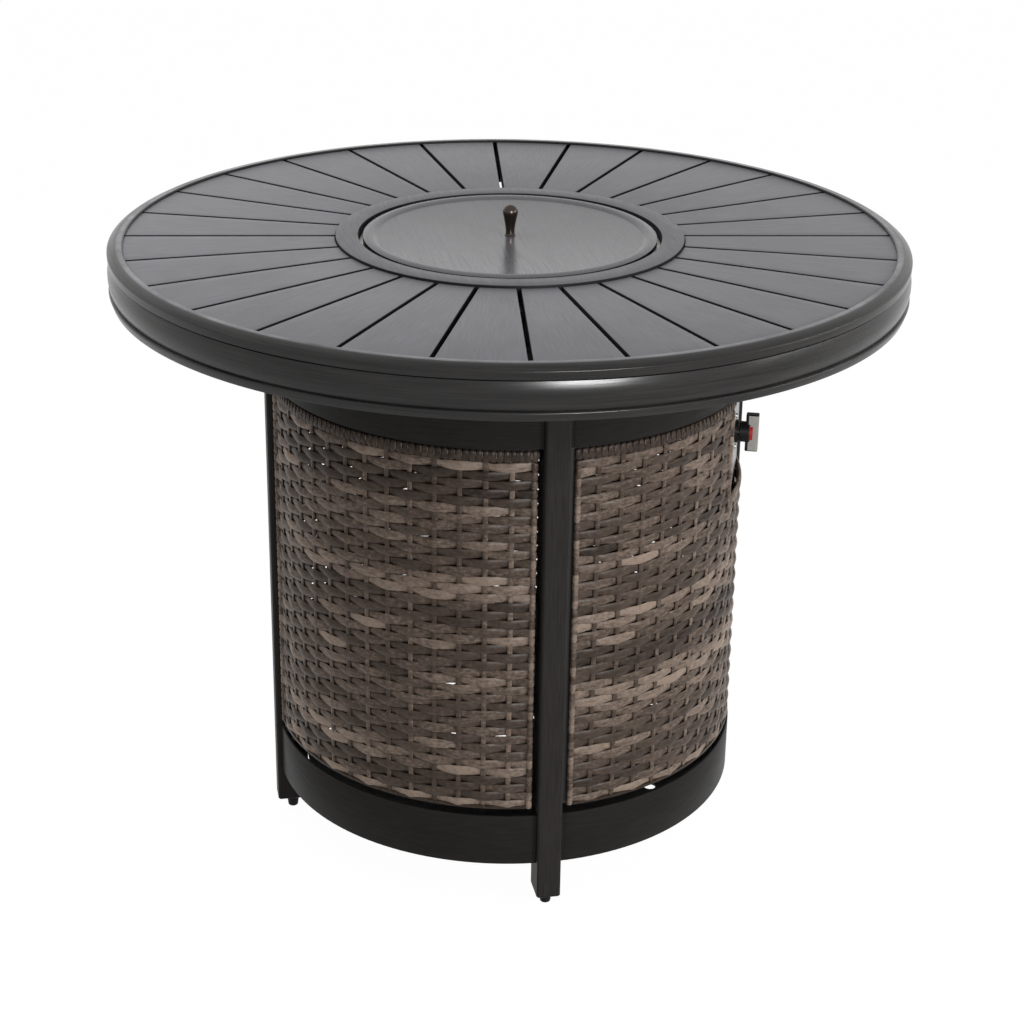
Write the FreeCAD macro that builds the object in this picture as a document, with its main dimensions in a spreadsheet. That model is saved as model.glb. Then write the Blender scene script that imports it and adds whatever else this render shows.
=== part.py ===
import FreeCAD, Part
import Sketcher
import math
import os

# A round gas fire table: a slatted aluminium top with a burner under a lift-off lid, on a
# four-legged drum of woven panels that hides the gas cylinder. Millimetres, Z up.
# The origin is on the floor under the centre. The front leg stands towards -Y.

os.makedirs("parts", exist_ok=True)
doc = FreeCAD.newDocument("fire_table")
sheet = doc.addObject("Spreadsheet::Sheet", "Sizes")
Vector = FreeCAD.Vector

# Driving dimensions

DIMENSIONS = [
    ("table_height", 728, "floor to the top of the rim"),
    ("rim_radius", 457.2, "widest radius of the rim"),
    ("rim_depth", 57.5, "height of the rim's moulded edge"),
    ("rim_land", 439, "inner radius of the rim's flat top band"),
    ("slat_drop", 3, "how far the slats lie below the rim"),
    ("slat_depth", 16, "height of a slat's folded sides"),
    ("slat_gauge", 2, "thickness of the slats' sheet"),
    ("slat_count", 28, "slats round the top"),
    ("slot_width", 5, "gap between two slats"),
    ("slat_end", 446, "outer radius of the slats, under the rim's band"),
    ("hub_radius", 200, "outer radius of the raised hub ring"),
    ("hub_bore", 174, "inner radius of the hub ring"),
    ("hub_rebate", 12, "depth from the hub ring's top to its ledge"),
    ("lid_radius", 168.5, "radius of the burner lid"),
    ("lid_bead", 15, "width of the lid's raised edge"),
    ("pan_radius", 159.5, "outer radius of the burner pan's wall"),
    ("pan_depth", 90, "depth of the burner pan"),
    ("pan_gauge", 1.5, "thickness of the burner pan's sheet"),
    ("burner_radius", 95, "centre-line radius of the ring burner"),
    ("burner_tube", 9.5, "radius of the ring burner's tube"),
    ("bar_side", 25, "side of the square bars under the top"),
    ("ring_gauge", 3, "thickness of the two rings that carry the slats"),
    ("drum_radius", 280, "outer radius of the drum's plates"),
    ("plate_gauge", 3, "thickness of the drum's curved plates"),
    ("apron_bottom", 571.5, "height of the upper plates' lower edge"),
    ("skirt_top", 122.5, "height of the lower plates' upper edge"),
    ("skirt_bottom", 59.5, "height of the lower plates' lower edge"),
    ("leg_width", 28, "width of a leg, seen from the front"),
    ("leg_outside", 286, "distance of a leg's face from the middle"),
    ("leg_inside", 248, "distance of a leg's back from the middle"),
    ("leg_wall", 2, "wall of a leg's tube"),
    ("leg_bottom", 15, "height of a leg's lower end"),
    ("plug_flange", 3, "thickness of the plug under a leg"),
    ("foot_radius", 267, "distance of the levelling feet from the middle"),
    ("frame_inside", 262, "inner radius of the panels' metal frames"),
    ("weave_inside", 272, "radius where the weave starts, outside its frame"),
    ("panel_gap", 6.2, "gap between a leg's side and a panel's edge"),
    ("panel_top_gap", 2, "gap over the woven panels"),
    ("panel_low_gap", 9, "gap under the woven panels"),
    ("frame_rail", 16, "width of the frames' rails"),
    ("tray_height", 70, "underside of the cylinder's tray"),
    ("tray_gauge", 2, "thickness of the tray"),
    ("shield_height", 537, "underside of the heat shield"),
    ("control_height", 505, "height of the control knob's axis"),
    ("control_face", 268.5, "distance of the control housing's face from the middle"),
    ("housing_width", 128, "width of the control housing"),
    ("hinge_radius", 271.5, "distance of the door's hinge line from the middle"),
    ("hinge_offset", 25, "distance of the hinge line from the left leg's middle plane"),
]
TOP_TURN = -1.8             # the top's turn on its base, from slots placed evenly about the legs
CONTROL_ANGLE = -20         # direction of the control knob's axis, from +X
LEG_ANGLES = {"right": 0, "back": 90, "left": 180, "front": -90}
PANEL_ANGLES = {"back_right": 45, "back_left": 135, "front_left": -135, "front_right": -45}

for row, (alias, number, meaning) in enumerate(DIMENSIONS, start=1):
    sheet.set(f"A{row}", alias)
    sheet.set(f"B{row}", str(number))
    sheet.setAlias(f"B{row}", alias)
    sheet.set(f"C{row}", meaning)
doc.recompute()


class Size:
    """A length with its number and the expression that ties it to the sheet."""

    def __init__(self, number, text):
        self.number = number
        self.text = text

    def join(self, other, sign, number):
        text = other.text if isinstance(other, Size) else str(other)
        return Size(number, f"({self.text} {sign} {text})")

    def __add__(self, other):
        return self.join(other, "+", self.number + plain(other))

    def __sub__(self, other):
        return self.join(other, "-", self.number - plain(other))

    def __mul__(self, other):
        return self.join(other, "*", self.number * plain(other))

    def __truediv__(self, other):
        return self.join(other, "/", self.number / plain(other))


def plain(value):
    return value.number if isinstance(value, Size) else value


def bind(thing, path, value):
    """Gives a property its size, and ties it to the sheet when the size comes from there."""
    if isinstance(value, Size):
        thing.setExpression(path, value.text)
    else:
        thing.setExpression(path, str(value))


D = {alias: Size(number, f"Sizes.{alias}") for alias, number, _ in DIMENSIONS}
top = D["table_height"]
slat_top = top - D["slat_drop"]
slat_under = slat_top - D["slat_depth"]
ring_under = slat_under - D["ring_gauge"]
bar_under = ring_under - D["bar_side"]
ledge = top - D["hub_rebate"]
pan_flange = ledge + D["pan_gauge"]
pan_bottom = ledge - D["pan_depth"]
panel_top = D["apron_bottom"] - D["panel_top_gap"]
panel_bottom = D["skirt_top"] + D["panel_low_gap"]
plate_inside = D["drum_radius"] - D["plate_gauge"]


# Builders for the kinds of sub-part

def placed(thing, angle=0, base=(0, 0, 0)):
    """Turns a piece about the table's axis, after moving it to its base."""
    turn = FreeCAD.Rotation(Vector(0, 0, 1), angle)
    thing.Placement = FreeCAD.Placement(turn.multVec(Vector(*base)), turn)
    return thing


def origin_feature(body, role):
    return next(feature for feature in body.Origin.OriginFeatures if feature.Role == role)


def outline(sketch, steps):
    """Closes an outline through its steps: (x, y) starts a straight run to the next step, and
    (x, y, radius) an arc, bulging to the right of its way, or to the left if radius is below 0."""
    count = len(steps)
    first = sketch.GeometryCount
    points = [Vector(plain(step[0]), plain(step[1]), 0) for step in steps]
    starts, ends = [], []
    for index, step in enumerate(steps):
        a, b = points[index], points[(index + 1) % count]
        if len(step) == 2:
            sketch.addGeometry(Part.LineSegment(a, b), False)
            starts.append(1)
            ends.append(2)
            continue
        radius = abs(plain(step[2]))
        bulges_right = plain(step[2]) > 0
        way = (b - a).normalize()
        left = Vector(-way.y, way.x, 0)
        half = (b - a).Length / 2
        reach = math.sqrt(max(radius ** 2 - half ** 2, 0))
        centre = (a + b) * 0.5 + left * (reach if bulges_right else -reach)
        first_end, last_end = (a, b) if bulges_right else (b, a)
        from_angle = math.atan2(first_end.y - centre.y, first_end.x - centre.x)
        to_angle = math.atan2(last_end.y - centre.y, last_end.x - centre.x)
        circle = Part.Circle(centre, Vector(0, 0, 1), radius)
        sketch.addGeometry(Part.ArcOfCircle(circle, from_angle, to_angle), False)
        starts.append(1 if bulges_right else 2)
        ends.append(2 if bulges_right else 1)
    for index, step in enumerate(steps):
        this, following = first + index, first + (index + 1) % count
        sketch.addConstraint(
            Sketcher.Constraint("Coincident", this, ends[index], following, starts[(index + 1) % count]))
        for kind, value in (("DistanceX", step[0]), ("DistanceY", step[1])):
            number = sketch.addConstraint(
                Sketcher.Constraint(kind, -1, 1, this, starts[index], plain(value)))
            if isinstance(value, Size):
                sketch.setExpression(f"Constraints[{number}]", value.text)
        if len(step) == 3:
            sketch.addConstraint(Sketcher.Constraint("Radius", this, abs(plain(step[2]))))


def new_sketch(body, name, role):
    sketch = body.newObject("Sketcher::SketchObject", name)
    sketch.AttachmentSupport = [(origin_feature(body, role), "")]
    sketch.MapMode = "FlatFace"
    return sketch


def turned(name, steps, angle=360, turn=0):
    """A piece turned about the table's axis from an outline of radius and height."""
    body = doc.addObject("PartDesign::Body", name)
    sketch = new_sketch(body, f"{name}_outline", "XZ_Plane")
    outline(sketch, steps)
    revolution = body.newObject("PartDesign::Revolution", f"{name}_turned")
    revolution.Profile = sketch
    revolution.ReferenceAxis = (sketch, ["V_Axis"])
    revolution.Angle = angle
    return placed(body, turn)


def pad(name, loops, height, base=(0, 0, 0), turn=0):
    """A flat outline, with any inner loops, padded upwards by its height."""
    body = doc.addObject("PartDesign::Body", name)
    sketch = new_sketch(body, f"{name}_outline", "XY_Plane")
    for loop in loops:
        outline(sketch, loop)
    feature = body.newObject("PartDesign::Pad", f"{name}_padded")
    feature.Profile = sketch
    bind(feature, "Length", height)
    placed(body, turn, [plain(value) for value in base])
    return body


def box(name, low, size, turn=0):
    """A block with its lowest corner and its length, width and height, turned about the axis."""
    block = doc.addObject("Part::Box", name)
    for path, value in zip(("Length", "Width", "Height"), size):
        bind(block, path, value)
    return placed(block, turn, [plain(value) for value in low])


def rod(name, radius, height, base, direction=(0, 0, 1), turn=0):
    """A round rod from its base along a direction, turned about the table's axis."""
    cylinder = doc.addObject("Part::Cylinder", name)
    bind(cylinder, "Radius", radius)
    bind(cylinder, "Height", height)
    about = FreeCAD.Rotation(Vector(0, 0, 1), turn)
    lean = FreeCAD.Rotation(Vector(0, 0, 1), Vector(*direction))
    start = about.multVec(Vector(*[plain(value) for value in base]))
    cylinder.Placement = FreeCAD.Placement(start, about.multiply(lean))
    return cylinder


def fused(name, pieces):
    union = doc.addObject("Part::MultiFuse", name)
    union.Shapes = pieces
    return union


def cut(name, base, tools):
    """A base with its tools taken away."""
    result = doc.addObject("Part::Cut", name)
    result.Base = base
    result.Tool = tools[0] if len(tools) == 1 else fused(f"{name}_tools", tools)
    return result


def common(name, first, second):
    """The space that two pieces share."""
    shared = doc.addObject("Part::Common", name)
    shared.Base = first
    shared.Tool = second
    return shared


def group(name, pieces):
    """Separate solids that share one node."""
    compound = doc.addObject("Part::Compound", name)
    compound.Links = pieces
    return compound


def rounded_block(half_x, half_y, radius, centre_x=0):
    """The outline of a rectangle with rounded corners, about a centre on the X axis."""
    left, right = centre_x - half_x, centre_x + half_x
    return [(left + radius, -half_y), (right - radius, -half_y, radius), (right, -half_y + radius),
            (right, half_y - radius, radius), (right - radius, half_y), (left + radius, half_y, radius),
            (left, half_y - radius), (left, -half_y + radius, radius)]


def band(name, inside, outside, low, high, half_angle, turn):
    """A curved plate, centred on a direction, that spans an angle each side of it."""
    steps = [(inside, low), (outside, low), (outside, high), (inside, high)]
    return turned(name, steps, 2 * half_angle, turn - half_angle)


def screw(name, place, direction, head_radius, head_height, shank_radius, shank_length):
    """A pan-head screw: place is under its head, and direction the way its shank points."""
    back = tuple(-value for value in direction)
    return fused(name, [rod(f"{name}_shank", shank_radius, shank_length, place, direction),
                        rod(f"{name}_head", head_radius, head_height, place, back)])


def around(angle, radial, across=0, height=0):
    """A point given by its distance out along a direction, its distance across and its height."""
    a = math.radians(angle)
    return (radial * math.cos(a) - across * math.sin(a), radial * math.sin(a) + across * math.cos(a), height)


def heading(angle):
    return (math.cos(math.radians(angle)), math.sin(math.radians(angle)), 0)


nodes = []


def keep(*pieces):
    """Marks sub-parts as nodes of the finished table."""
    nodes.extend(pieces)


# The slatted top

def make_rim():
    """The moulded edge: a flat band, a sloping lip, a groove, a deep torus and a lower lip."""
    widest = D["rim_radius"]
    low = top - D["rim_depth"]
    steps = [(D["rim_land"], slat_top), (D["slat_end"] + 3, slat_top), (D["slat_end"] + 4, top - 12),
             (D["slat_end"] + 5, low + 3), (D["rim_land"] + 3, low + 3), (D["rim_land"] + 3, low),
             (widest - 3.2, low), (widest - 0.5, low + 8, 1.6), (widest - 2.1, low + 9.6),
             (widest - 3.4, low + 10), (widest - 3, low + 11, 39.3), (widest - 3, top - 16.4),
             (widest - 4.6, top - 15.8), (widest - 4.6, top - 14.8), (widest - 1, top - 14.2),
             (widest - 0.6, top - 6.4, 1.6), (widest - 1.13, top - 5.21, 22), (widest - 11, top),
             (D["rim_land"] + 1.2, top), (D["rim_land"], top - 1.2)]
    return turned("top_rim", steps)


def make_slats():
    """Folded sheet slats: a wedge hollowed from below, patterned round the top."""
    half = math.radians(180 / plain(D["slat_count"]))
    edge = plain(D["slot_width"]) / 2
    inner, outer = plain(D["hub_radius"]) + 0.3, plain(D["slat_end"])
    wall = plain(D["slat_gauge"])

    def wedge(near, far, margin):
        corners = []
        for radius, side in ((near, -1), (far, -1), (far, 1), (near, 1)):
            angle = side * (half - math.asin((edge + margin) / radius))
            corners.append((radius * math.cos(angle), radius * math.sin(angle)))
        return [corners[0], (*corners[1], far), corners[2], (*corners[3], -near)]

    body = doc.addObject("PartDesign::Body", "top_slats")
    sheet_outline = new_sketch(body, "slat_outline", "XY_Plane")
    outline(sheet_outline, wedge(inner, outer, 0))
    block = body.newObject("PartDesign::Pad", "slat_block")
    block.Profile = sheet_outline
    bind(block, "Length", D["slat_depth"])
    doc.recompute()
    hollow_outline = new_sketch(body, "slat_hollow_outline", "XY_Plane")
    outline(hollow_outline, wedge(inner + wall, outer - wall, wall))
    hollow = body.newObject("PartDesign::Pocket", "slat_hollow")
    hollow.Profile = hollow_outline
    hollow.Reversed = True
    bind(hollow, "Length", D["slat_depth"] - D["slat_gauge"])
    doc.recompute()
    pattern = body.newObject("PartDesign::PolarPattern", "slat_pattern")
    pattern.Originals = [block, hollow]
    pattern.Axis = (origin_feature(body, "Z_Axis"), [""])
    pattern.Angle = 360
    bind(pattern, "Occurrences", D["slat_count"])
    body.Tip = pattern
    return placed(body, TOP_TURN, (0, 0, plain(slat_under)))


def make_hub_ring():
    """The raised ring round the burner, with the ledge that carries the pan and the lid."""
    wall = D["ring_gauge"]
    outer, bore = D["hub_radius"], D["hub_bore"]
    steps = [(outer - wall, slat_under), (outer, slat_under), (outer, top - 1.2), (outer - 1.2, top),
             (bore + 1.2, top), (bore, top - 1.2), (bore, ledge), (bore - 13.5, ledge),
             (bore - 13.5, ledge - wall), (bore + wall, ledge - wall), (bore + wall, top - wall),
             (outer - wall, top - wall)]
    return turned("hub_ring", steps)


def flat_ring(name, inside, outside, low, gauge):
    steps = [(inside, low), (outside, low), (outside, low + gauge), (inside, low + gauge)]
    return turned(name, steps)


BAR_START, BAR_END, BAR_WALL = 206, 441, 2
ROD_PLACE, ROD_RADIUS = 214, 3
SLAT_COUNT = round(plain(D["slat_count"]))
SCREW_ANGLES = [TOP_TURN + 360 / SLAT_COUNT * index for index in range(SLAT_COUNT)]
SLAT_SCREW_RADIUS = 216


def make_cross_bars():
    """Four square tubes under the slats, one over each leg."""
    bars = []
    for side, angle in LEG_ANGLES.items():
        half = D["bar_side"] / 2
        shell = box(f"bar_{side}_shell", (BAR_START, -plain(half), plain(bar_under)),
                    (BAR_END - BAR_START, D["bar_side"], D["bar_side"]), angle)
        inner_side = D["bar_side"] - 2 * BAR_WALL
        bore = box(f"bar_{side}_bore", (BAR_START - 1, -plain(half) + BAR_WALL, plain(bar_under) + BAR_WALL),
                   (BAR_END - BAR_START + 2, inner_side, inner_side), angle)
        under = plain(bar_under)
        bolt_hole = rod(f"bar_{side}_bolt_hole", 4.1, 60, (D["foot_radius"], 0, under - 10), turn=angle)
        rod_hole = rod(f"bar_{side}_rod_hole", ROD_RADIUS + 0.05, 12, (ROD_PLACE, 0, under - 6), turn=angle)
        bars.append(cut(f"bar_{side}", shell, [bore, bolt_hole, rod_hole]))
    return group("cross_bars", bars)


keep(make_rim())
keep(make_slats())
keep(make_hub_ring())
keep(flat_ring("slat_ring_outer", D["rim_land"] - 21, D["slat_end"] + 3.8, ring_under, D["ring_gauge"]))
keep(make_cross_bars())


# Screws that hold each slat to the inner ring, from below

def make_slat_screws():
    screws, holes = [], []
    for index, angle in enumerate(SCREW_ANGLES):
        near_bar = min(abs((angle - bar + 180) % 360 - 180) for bar in LEG_ANGLES.values())
        if near_bar < 6:
            continue
        place = around(angle, SLAT_SCREW_RADIUS, 0, plain(ring_under))
        screws.append(screw(f"slat_screw_{index}", place, (0, 0, 1), 4.2, 2.6, 2, 9))
        holes.append(rod(f"slat_screw_hole_{index}", 2.05, 12, place))
    return screws, holes


slat_screws, slat_screw_holes = make_slat_screws()
keep(group("slat_screws", slat_screws))
inner_blank = flat_ring("inner_ring_blank", D["hub_radius"] - 5, D["hub_radius"] + 25, ring_under,
                        D["ring_gauge"])
keep(cut("slat_ring_inner", inner_blank, slat_screw_holes))


# The drum's curved plates, with the flanges that screw to the legs

FLANGE_GAUGE, FLANGE_DEPTH, FLANGE_NOTCH = 3.9, 20, 0.2
PLATE_SCREW_RADIUS = 266
FRAME_SCREW, FRAME_SCREW_LENGTH = 2.1, 9.9
SEAT = 0.05                 # play where two fastened pieces lie face to face


def half_span(radius, clearance):
    """The angle from a panel's centre to where it stops short of the legs."""
    across = plain(D["leg_width"]) / 2 + clearance
    return 45 - math.degrees(math.asin(across / plain(radius)))


def frame_screw(name, place, direction):
    """One of the like screws that hold the drum together."""
    return screw(name, place, direction, 4.4, 2.6, FRAME_SCREW, FRAME_SCREW_LENGTH)


def screw_hole(name, place, direction):
    return rod(name, FRAME_SCREW + 0.05, FRAME_SCREW_LENGTH + 2, place, direction)


def leg_at(angle):
    """The name of the leg that stands in a direction."""
    return next(side for side, own in LEG_ANGLES.items() if (own - angle) % 360 == 0)


leg_holes = {side: [] for side in LEG_ANGLES}


def screw_heights(low, high):
    span = plain(high) - plain(low)
    return [plain(low) + span * 0.3, plain(low) + span * 0.7]


def make_plates(name, low, high):
    """Four curved plates between the legs; each end has a flange flat against a leg's side."""
    plates, screws = [], []
    shell_span = half_span(D["drum_radius"], FLANGE_GAUGE)
    for panel, centre in PANEL_ANGLES.items():
        pieces = [band(f"{name}_{panel}_shell", plate_inside, D["drum_radius"], low, high, shell_span, centre)]
        holes = []
        for end, leg_angle in ((1, centre + 45), (-1, centre - 45)):
            side = -end
            across = plain(D["leg_width"]) / 2
            low_side = across + SEAT if side > 0 else -across - SEAT - FLANGE_GAUGE
            flange = box(f"{name}_{panel}_flange_{end + 1}",
                         (plain(plate_inside) - FLANGE_DEPTH, low_side, plain(low)),
                         (FLANGE_DEPTH + FLANGE_NOTCH, FLANGE_GAUGE, high - low), leg_angle)
            pieces.append(flange)
            leg_side = leg_at(leg_angle)
            for step, height in enumerate(screw_heights(low, high)):
                place = around(leg_angle, PLATE_SCREW_RADIUS, side * (across + FLANGE_GAUGE + SEAT), height)
                inward = around(leg_angle, 0, -side, 0)
                label = f"{name}_{panel}_screw_{end + 1}_{step}"
                screws.append(frame_screw(label, place, inward))
                holes.append(screw_hole(f"{label}_hole", place, inward))
                leg_holes[leg_side].append(holes[-1])
        plates.append(cut(f"{name}_{panel}", fused(f"{name}_{panel}_blank", pieces), holes))
    return group(f"{name}_plates", plates), screws


apron, apron_screws = make_plates("apron", D["apron_bottom"], bar_under)
skirt, skirt_screws = make_plates("skirt", D["skirt_bottom"], D["skirt_top"])
keep(apron, skirt)


# The woven panels and their metal frames

CONTROL_MARGIN = 1.5
NOTCH_LOW = plain(D["control_height"]) - 57.5


def control_notch(name):
    """The space that the control housing takes out of the front right panel, up to its end."""
    half = plain(D["housing_width"]) / 2 + CONTROL_MARGIN
    return box(name, (180, -half, NOTCH_LOW - CONTROL_MARGIN), (130, half + 90, 200), CONTROL_ANGLE)


def make_weave(name, panel):
    """A woven skin as a plain curved slab."""
    span = half_span(D["weave_inside"], plain(D["panel_gap"]))
    return band(name, D["weave_inside"], D["drum_radius"], panel_bottom, panel_top, span, PANEL_ANGLES[panel])


def make_frame(name, panel, clearance):
    """A rolled frame behind the weave, with an upright half way along it."""
    centre = PANEL_ANGLES[panel]
    inside, outside, rail = D["frame_inside"], D["weave_inside"], D["frame_rail"]
    span = half_span(inside, clearance)
    blank = band(f"{name}_blank", inside, outside, panel_bottom, panel_top, span, centre)
    rail_angle = math.degrees(plain(rail) / plain(inside))
    window_span = span / 2 - rail_angle * 0.75
    windows = [band(f"{name}_window_{step}", inside - 5, outside + 5, panel_bottom + rail, panel_top - rail,
                    window_span, centre + way * (span / 2 - rail_angle * 0.25))
               for step, way in enumerate((-1, 1))]
    return blank, windows


CLIP_GAUGE, CLIP_HEIGHT, CLIP_REACH = 2, 24, 30
FIXED_PANELS = ("back_right", "back_left", "front_right")


def make_clip(label, leg_angle, side, height):
    """A stepped clip: one end on the leg's back, the other on the inside of a panel's frame."""
    across = plain(D["leg_width"]) / 2 + SEAT
    leg_back = plain(D["leg_inside"]) - SEAT
    frame_back = plain(D["frame_inside"]) - SEAT
    side_low = across if side > 0 else -across - CLIP_GAUGE
    face_low = 0.3 if side > 0 else -across - CLIP_GAUGE
    face = box(f"{label}_face", (leg_back - CLIP_GAUGE, face_low, height),
               (CLIP_GAUGE, across + CLIP_GAUGE - 0.3, CLIP_HEIGHT), leg_angle)
    arm = box(f"{label}_arm", (leg_back - CLIP_GAUGE, side_low, height),
              (frame_back - leg_back + 1, CLIP_GAUGE, CLIP_HEIGHT), leg_angle)
    tab_start = math.degrees(math.asin((across + CLIP_GAUGE / 2) / frame_back))
    tab_end = math.degrees(math.asin(CLIP_REACH / frame_back))
    tab = band(f"{label}_tab", frame_back - CLIP_GAUGE, frame_back, height, height + CLIP_HEIGHT,
               (tab_end - tab_start) / 2, leg_angle + side * (tab_start + tab_end) / 2)
    tab_angle = leg_angle + side * (tab_start * 0.35 + tab_end * 0.65)
    middle = height + CLIP_HEIGHT / 2
    fixings = [(around(leg_angle, leg_back - CLIP_GAUGE, side * across / 2, middle), heading(leg_angle)),
               (around(tab_angle, frame_back - CLIP_GAUGE - 0.1, 0, middle), heading(tab_angle))]
    screws = [frame_screw(f"{label}_screw_{step}", *fixing) for step, fixing in enumerate(fixings)]
    holes = [screw_hole(f"{label}_hole_{step}", *fixing) for step, fixing in enumerate(fixings)]
    leg_holes[leg_at(leg_angle)].append(holes[0])
    return cut(label, fused(f"{label}_blank", [face, arm, tab]), holes), screws, holes[1]


def make_clips():
    """Two clips at each side of each fixed panel, with their screws and the frames' holes."""
    clips, screws = [], []
    holes = {panel: [] for panel in FIXED_PANELS}
    for panel in FIXED_PANELS:
        for end in (1, -1):
            for step, height in enumerate((plain(panel_bottom) + 30, NOTCH_LOW - 60)):
                label = f"clip_{panel}_{end + 1}_{step}"
                clip, fixings, hole = make_clip(label, PANEL_ANGLES[panel] + 45 * end, -end, height)
                clips.append(clip)
                screws.extend(fixings)
                holes[panel].append(hole)
    return clips, screws, holes


DOOR = "front_left"
HINGE_LEG = LEG_ANGLES["left"]
PIN_RADIUS, PIN_CLEARANCE = 2.5, 0.05
LUG_OUTSIDE, LUG_LOW, LUG_HIGH, LUG_HEIGHT = 276, 20.5, 31, 14
BRACKET_GAUGE, BRACKET_REACH = 3, 33
CATCH_LOW, CATCH_HEIGHT, CATCH_WIDTH = 340, 44, 20
STRIKE_GAUGE, STRIKE_WIDTH = 1.5, 13


def door_lug(name, low, margin=0):
    """A block in the door frame's hinge-side corner that holds a pivot pin."""
    inside = plain(D["frame_inside"])
    return box(name, (inside, LUG_LOW - margin, low - margin),
               (LUG_OUTSIDE - inside + margin, LUG_HIGH - LUG_LOW + 2 * margin, LUG_HEIGHT + 2 * margin),
               HINGE_LEG)


def hinge_rod(name, radius, low, high):
    return rod(name, radius, high - low, (D["hinge_radius"], D["hinge_offset"], low), turn=HINGE_LEG)


def strike_block(name, margin=0):
    """The steel plate on the door's frame that the magnet holds."""
    across = plain(D["leg_width"]) / 2 + SEAT
    near = plain(D["frame_inside"]) - 2.4
    return box(name, (near - margin, -across - CATCH_WIDTH - margin, CATCH_LOW + 4 - margin),
               (STRIKE_GAUGE + 2 * margin, STRIKE_WIDTH + 2 * margin, CATCH_HEIGHT - 8 + 2 * margin),
               LEG_ANGLES["front"])


def make_door():
    """The front left panel as a door on two pivot pins beside the left leg."""
    blank, windows = make_frame("door_frame_shell", DOOR, plain(D["panel_gap"]))
    lug_lows = (plain(panel_bottom), plain(panel_top) - LUG_HEIGHT)
    lugs = [door_lug(f"door_lug_{step}", low) for step, low in enumerate(lug_lows)]
    pin_spans = ((plain(D["skirt_top"]) - BRACKET_GAUGE, lug_lows[0] + 12),
                 (lug_lows[1] + 2, plain(D["apron_bottom"]) + BRACKET_GAUGE))
    sockets = [hinge_rod(f"door_pin_socket_{step}", PIN_RADIUS, *span) for step, span in enumerate(pin_spans)]
    frame = cut("door_frame", fused("door_frame_blank", [cut("door_frame_open", blank, windows)] + lugs),
                sockets + [strike_block("strike_seat", 0.02)])
    recesses = [door_lug(f"door_lug_recess_{step}", low, 0.05) for step, low in enumerate(lug_lows)]
    weave = cut("door_wicker", make_weave("door_wicker_slab", DOOR), recesses)
    pins = group("door_pins", [hinge_rod(f"door_pin_{step}", PIN_RADIUS, *span)
                               for step, span in enumerate(pin_spans)])
    return frame, weave, pins


def make_brackets():
    """The two plates beside the left leg that hold the door's pivot pins."""
    brackets = []
    for step, low in enumerate((plain(D["skirt_top"]) - BRACKET_GAUGE, plain(D["apron_bottom"]))):
        near = plain(D["leg_width"]) / 2 + FLANGE_GAUGE + 2 * SEAT
        start = plain(D["leg_inside"])
        size = (40, BRACKET_REACH - near, BRACKET_GAUGE)
        block = box(f"hinge_block_{step}", (start, near, low), size, HINGE_LEG)
        drum = rod(f"hinge_drum_{step}", plate_inside - SEAT, BRACKET_GAUGE, (0, 0, low))
        plate = common(f"hinge_plate_{step}", block, drum)
        bore = hinge_rod(f"hinge_bore_{step}", PIN_RADIUS + PIN_CLEARANCE, low - 1, low + BRACKET_GAUGE + 1)
        brackets.append(cut(f"hinge_bracket_{step}", plate, [bore]))
    return group("hinge_brackets", brackets)


def make_spacer():
    """The bush on the lower pin that carries the door's weight."""
    low, high = plain(D["skirt_top"]), plain(panel_bottom) - 0.1
    return cut("hinge_spacer", hinge_rod("spacer_blank", 4.6, low, high),
               [hinge_rod("spacer_bore", PIN_RADIUS + PIN_CLEARANCE, low - 1, high + 1)])


def make_catch():
    """The magnet beside the front leg that holds the door shut."""
    across = plain(D["leg_width"]) / 2 + SEAT
    depth = 15
    return box("magnet_catch", (plain(D["frame_inside"]) - 2.7 - depth, -across - CATCH_WIDTH, CATCH_LOW),
               (depth, CATCH_WIDTH, CATCH_HEIGHT), LEG_ANGLES["front"])


keep(make_weave("wicker_back_right", "back_right"), make_weave("wicker_back_left", "back_left"))
front_slab = make_weave("front_right_slab", "front_right")
keep(cut("wicker_front_right", front_slab, [control_notch("weave_notch")]))
clips, clip_screws, clip_holes = make_clips()
fixed_frames = []
for panel in FIXED_PANELS:
    blank, windows = make_frame(f"frame_{panel}", panel, 2 * SEAT)
    notch = [control_notch("frame_notch")] if panel == "front_right" else []
    fixed_frames.append(cut(f"frame_{panel}_open", blank, windows + notch + clip_holes[panel]))
keep(group("panel_frames", fixed_frames))
keep(group("panel_clips", clips), group("frame_screws", apron_screws + skirt_screws + clip_screws))
keep(*make_door())
keep(make_brackets(), make_spacer())
keep(make_catch(), strike_block("strike_plate"))


# The legs, their plugs and their levelling feet

LEG_RADIUS, PLUG_RADIUS, STEM_RADIUS = 3, 3, 4
LEG_TOP_PLATE = 3
PLUG_DEPTH = 20


def make_leg(side, angle):
    """A rectangular tube with a plate welded into its upper end."""
    half_depth = (D["leg_outside"] - D["leg_inside"]) / 2
    centre = (D["leg_outside"] + D["leg_inside"]) / 2
    half_width = D["leg_width"] / 2
    wall = D["leg_wall"]
    low = D["leg_bottom"] + D["plug_flange"]
    tube = pad(f"leg_{side}_tube",
               [rounded_block(plain(half_depth), plain(half_width), LEG_RADIUS, plain(centre))],
               bar_under - low, (0, 0, low), angle)
    bore = pad(f"leg_{side}_bore",
               [rounded_block(plain(half_depth - wall), plain(half_width - wall), 1, plain(centre))],
               bar_under - low - LEG_TOP_PLATE, (0, 0, low), angle)
    bolt_hole = rod(f"leg_{side}_bolt_hole", 4.1, 20, (D["foot_radius"], 0, plain(bar_under) - 10), turn=angle)
    return cut(f"leg_{side}", tube, [bore, bolt_hole] + leg_holes[side])


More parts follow.
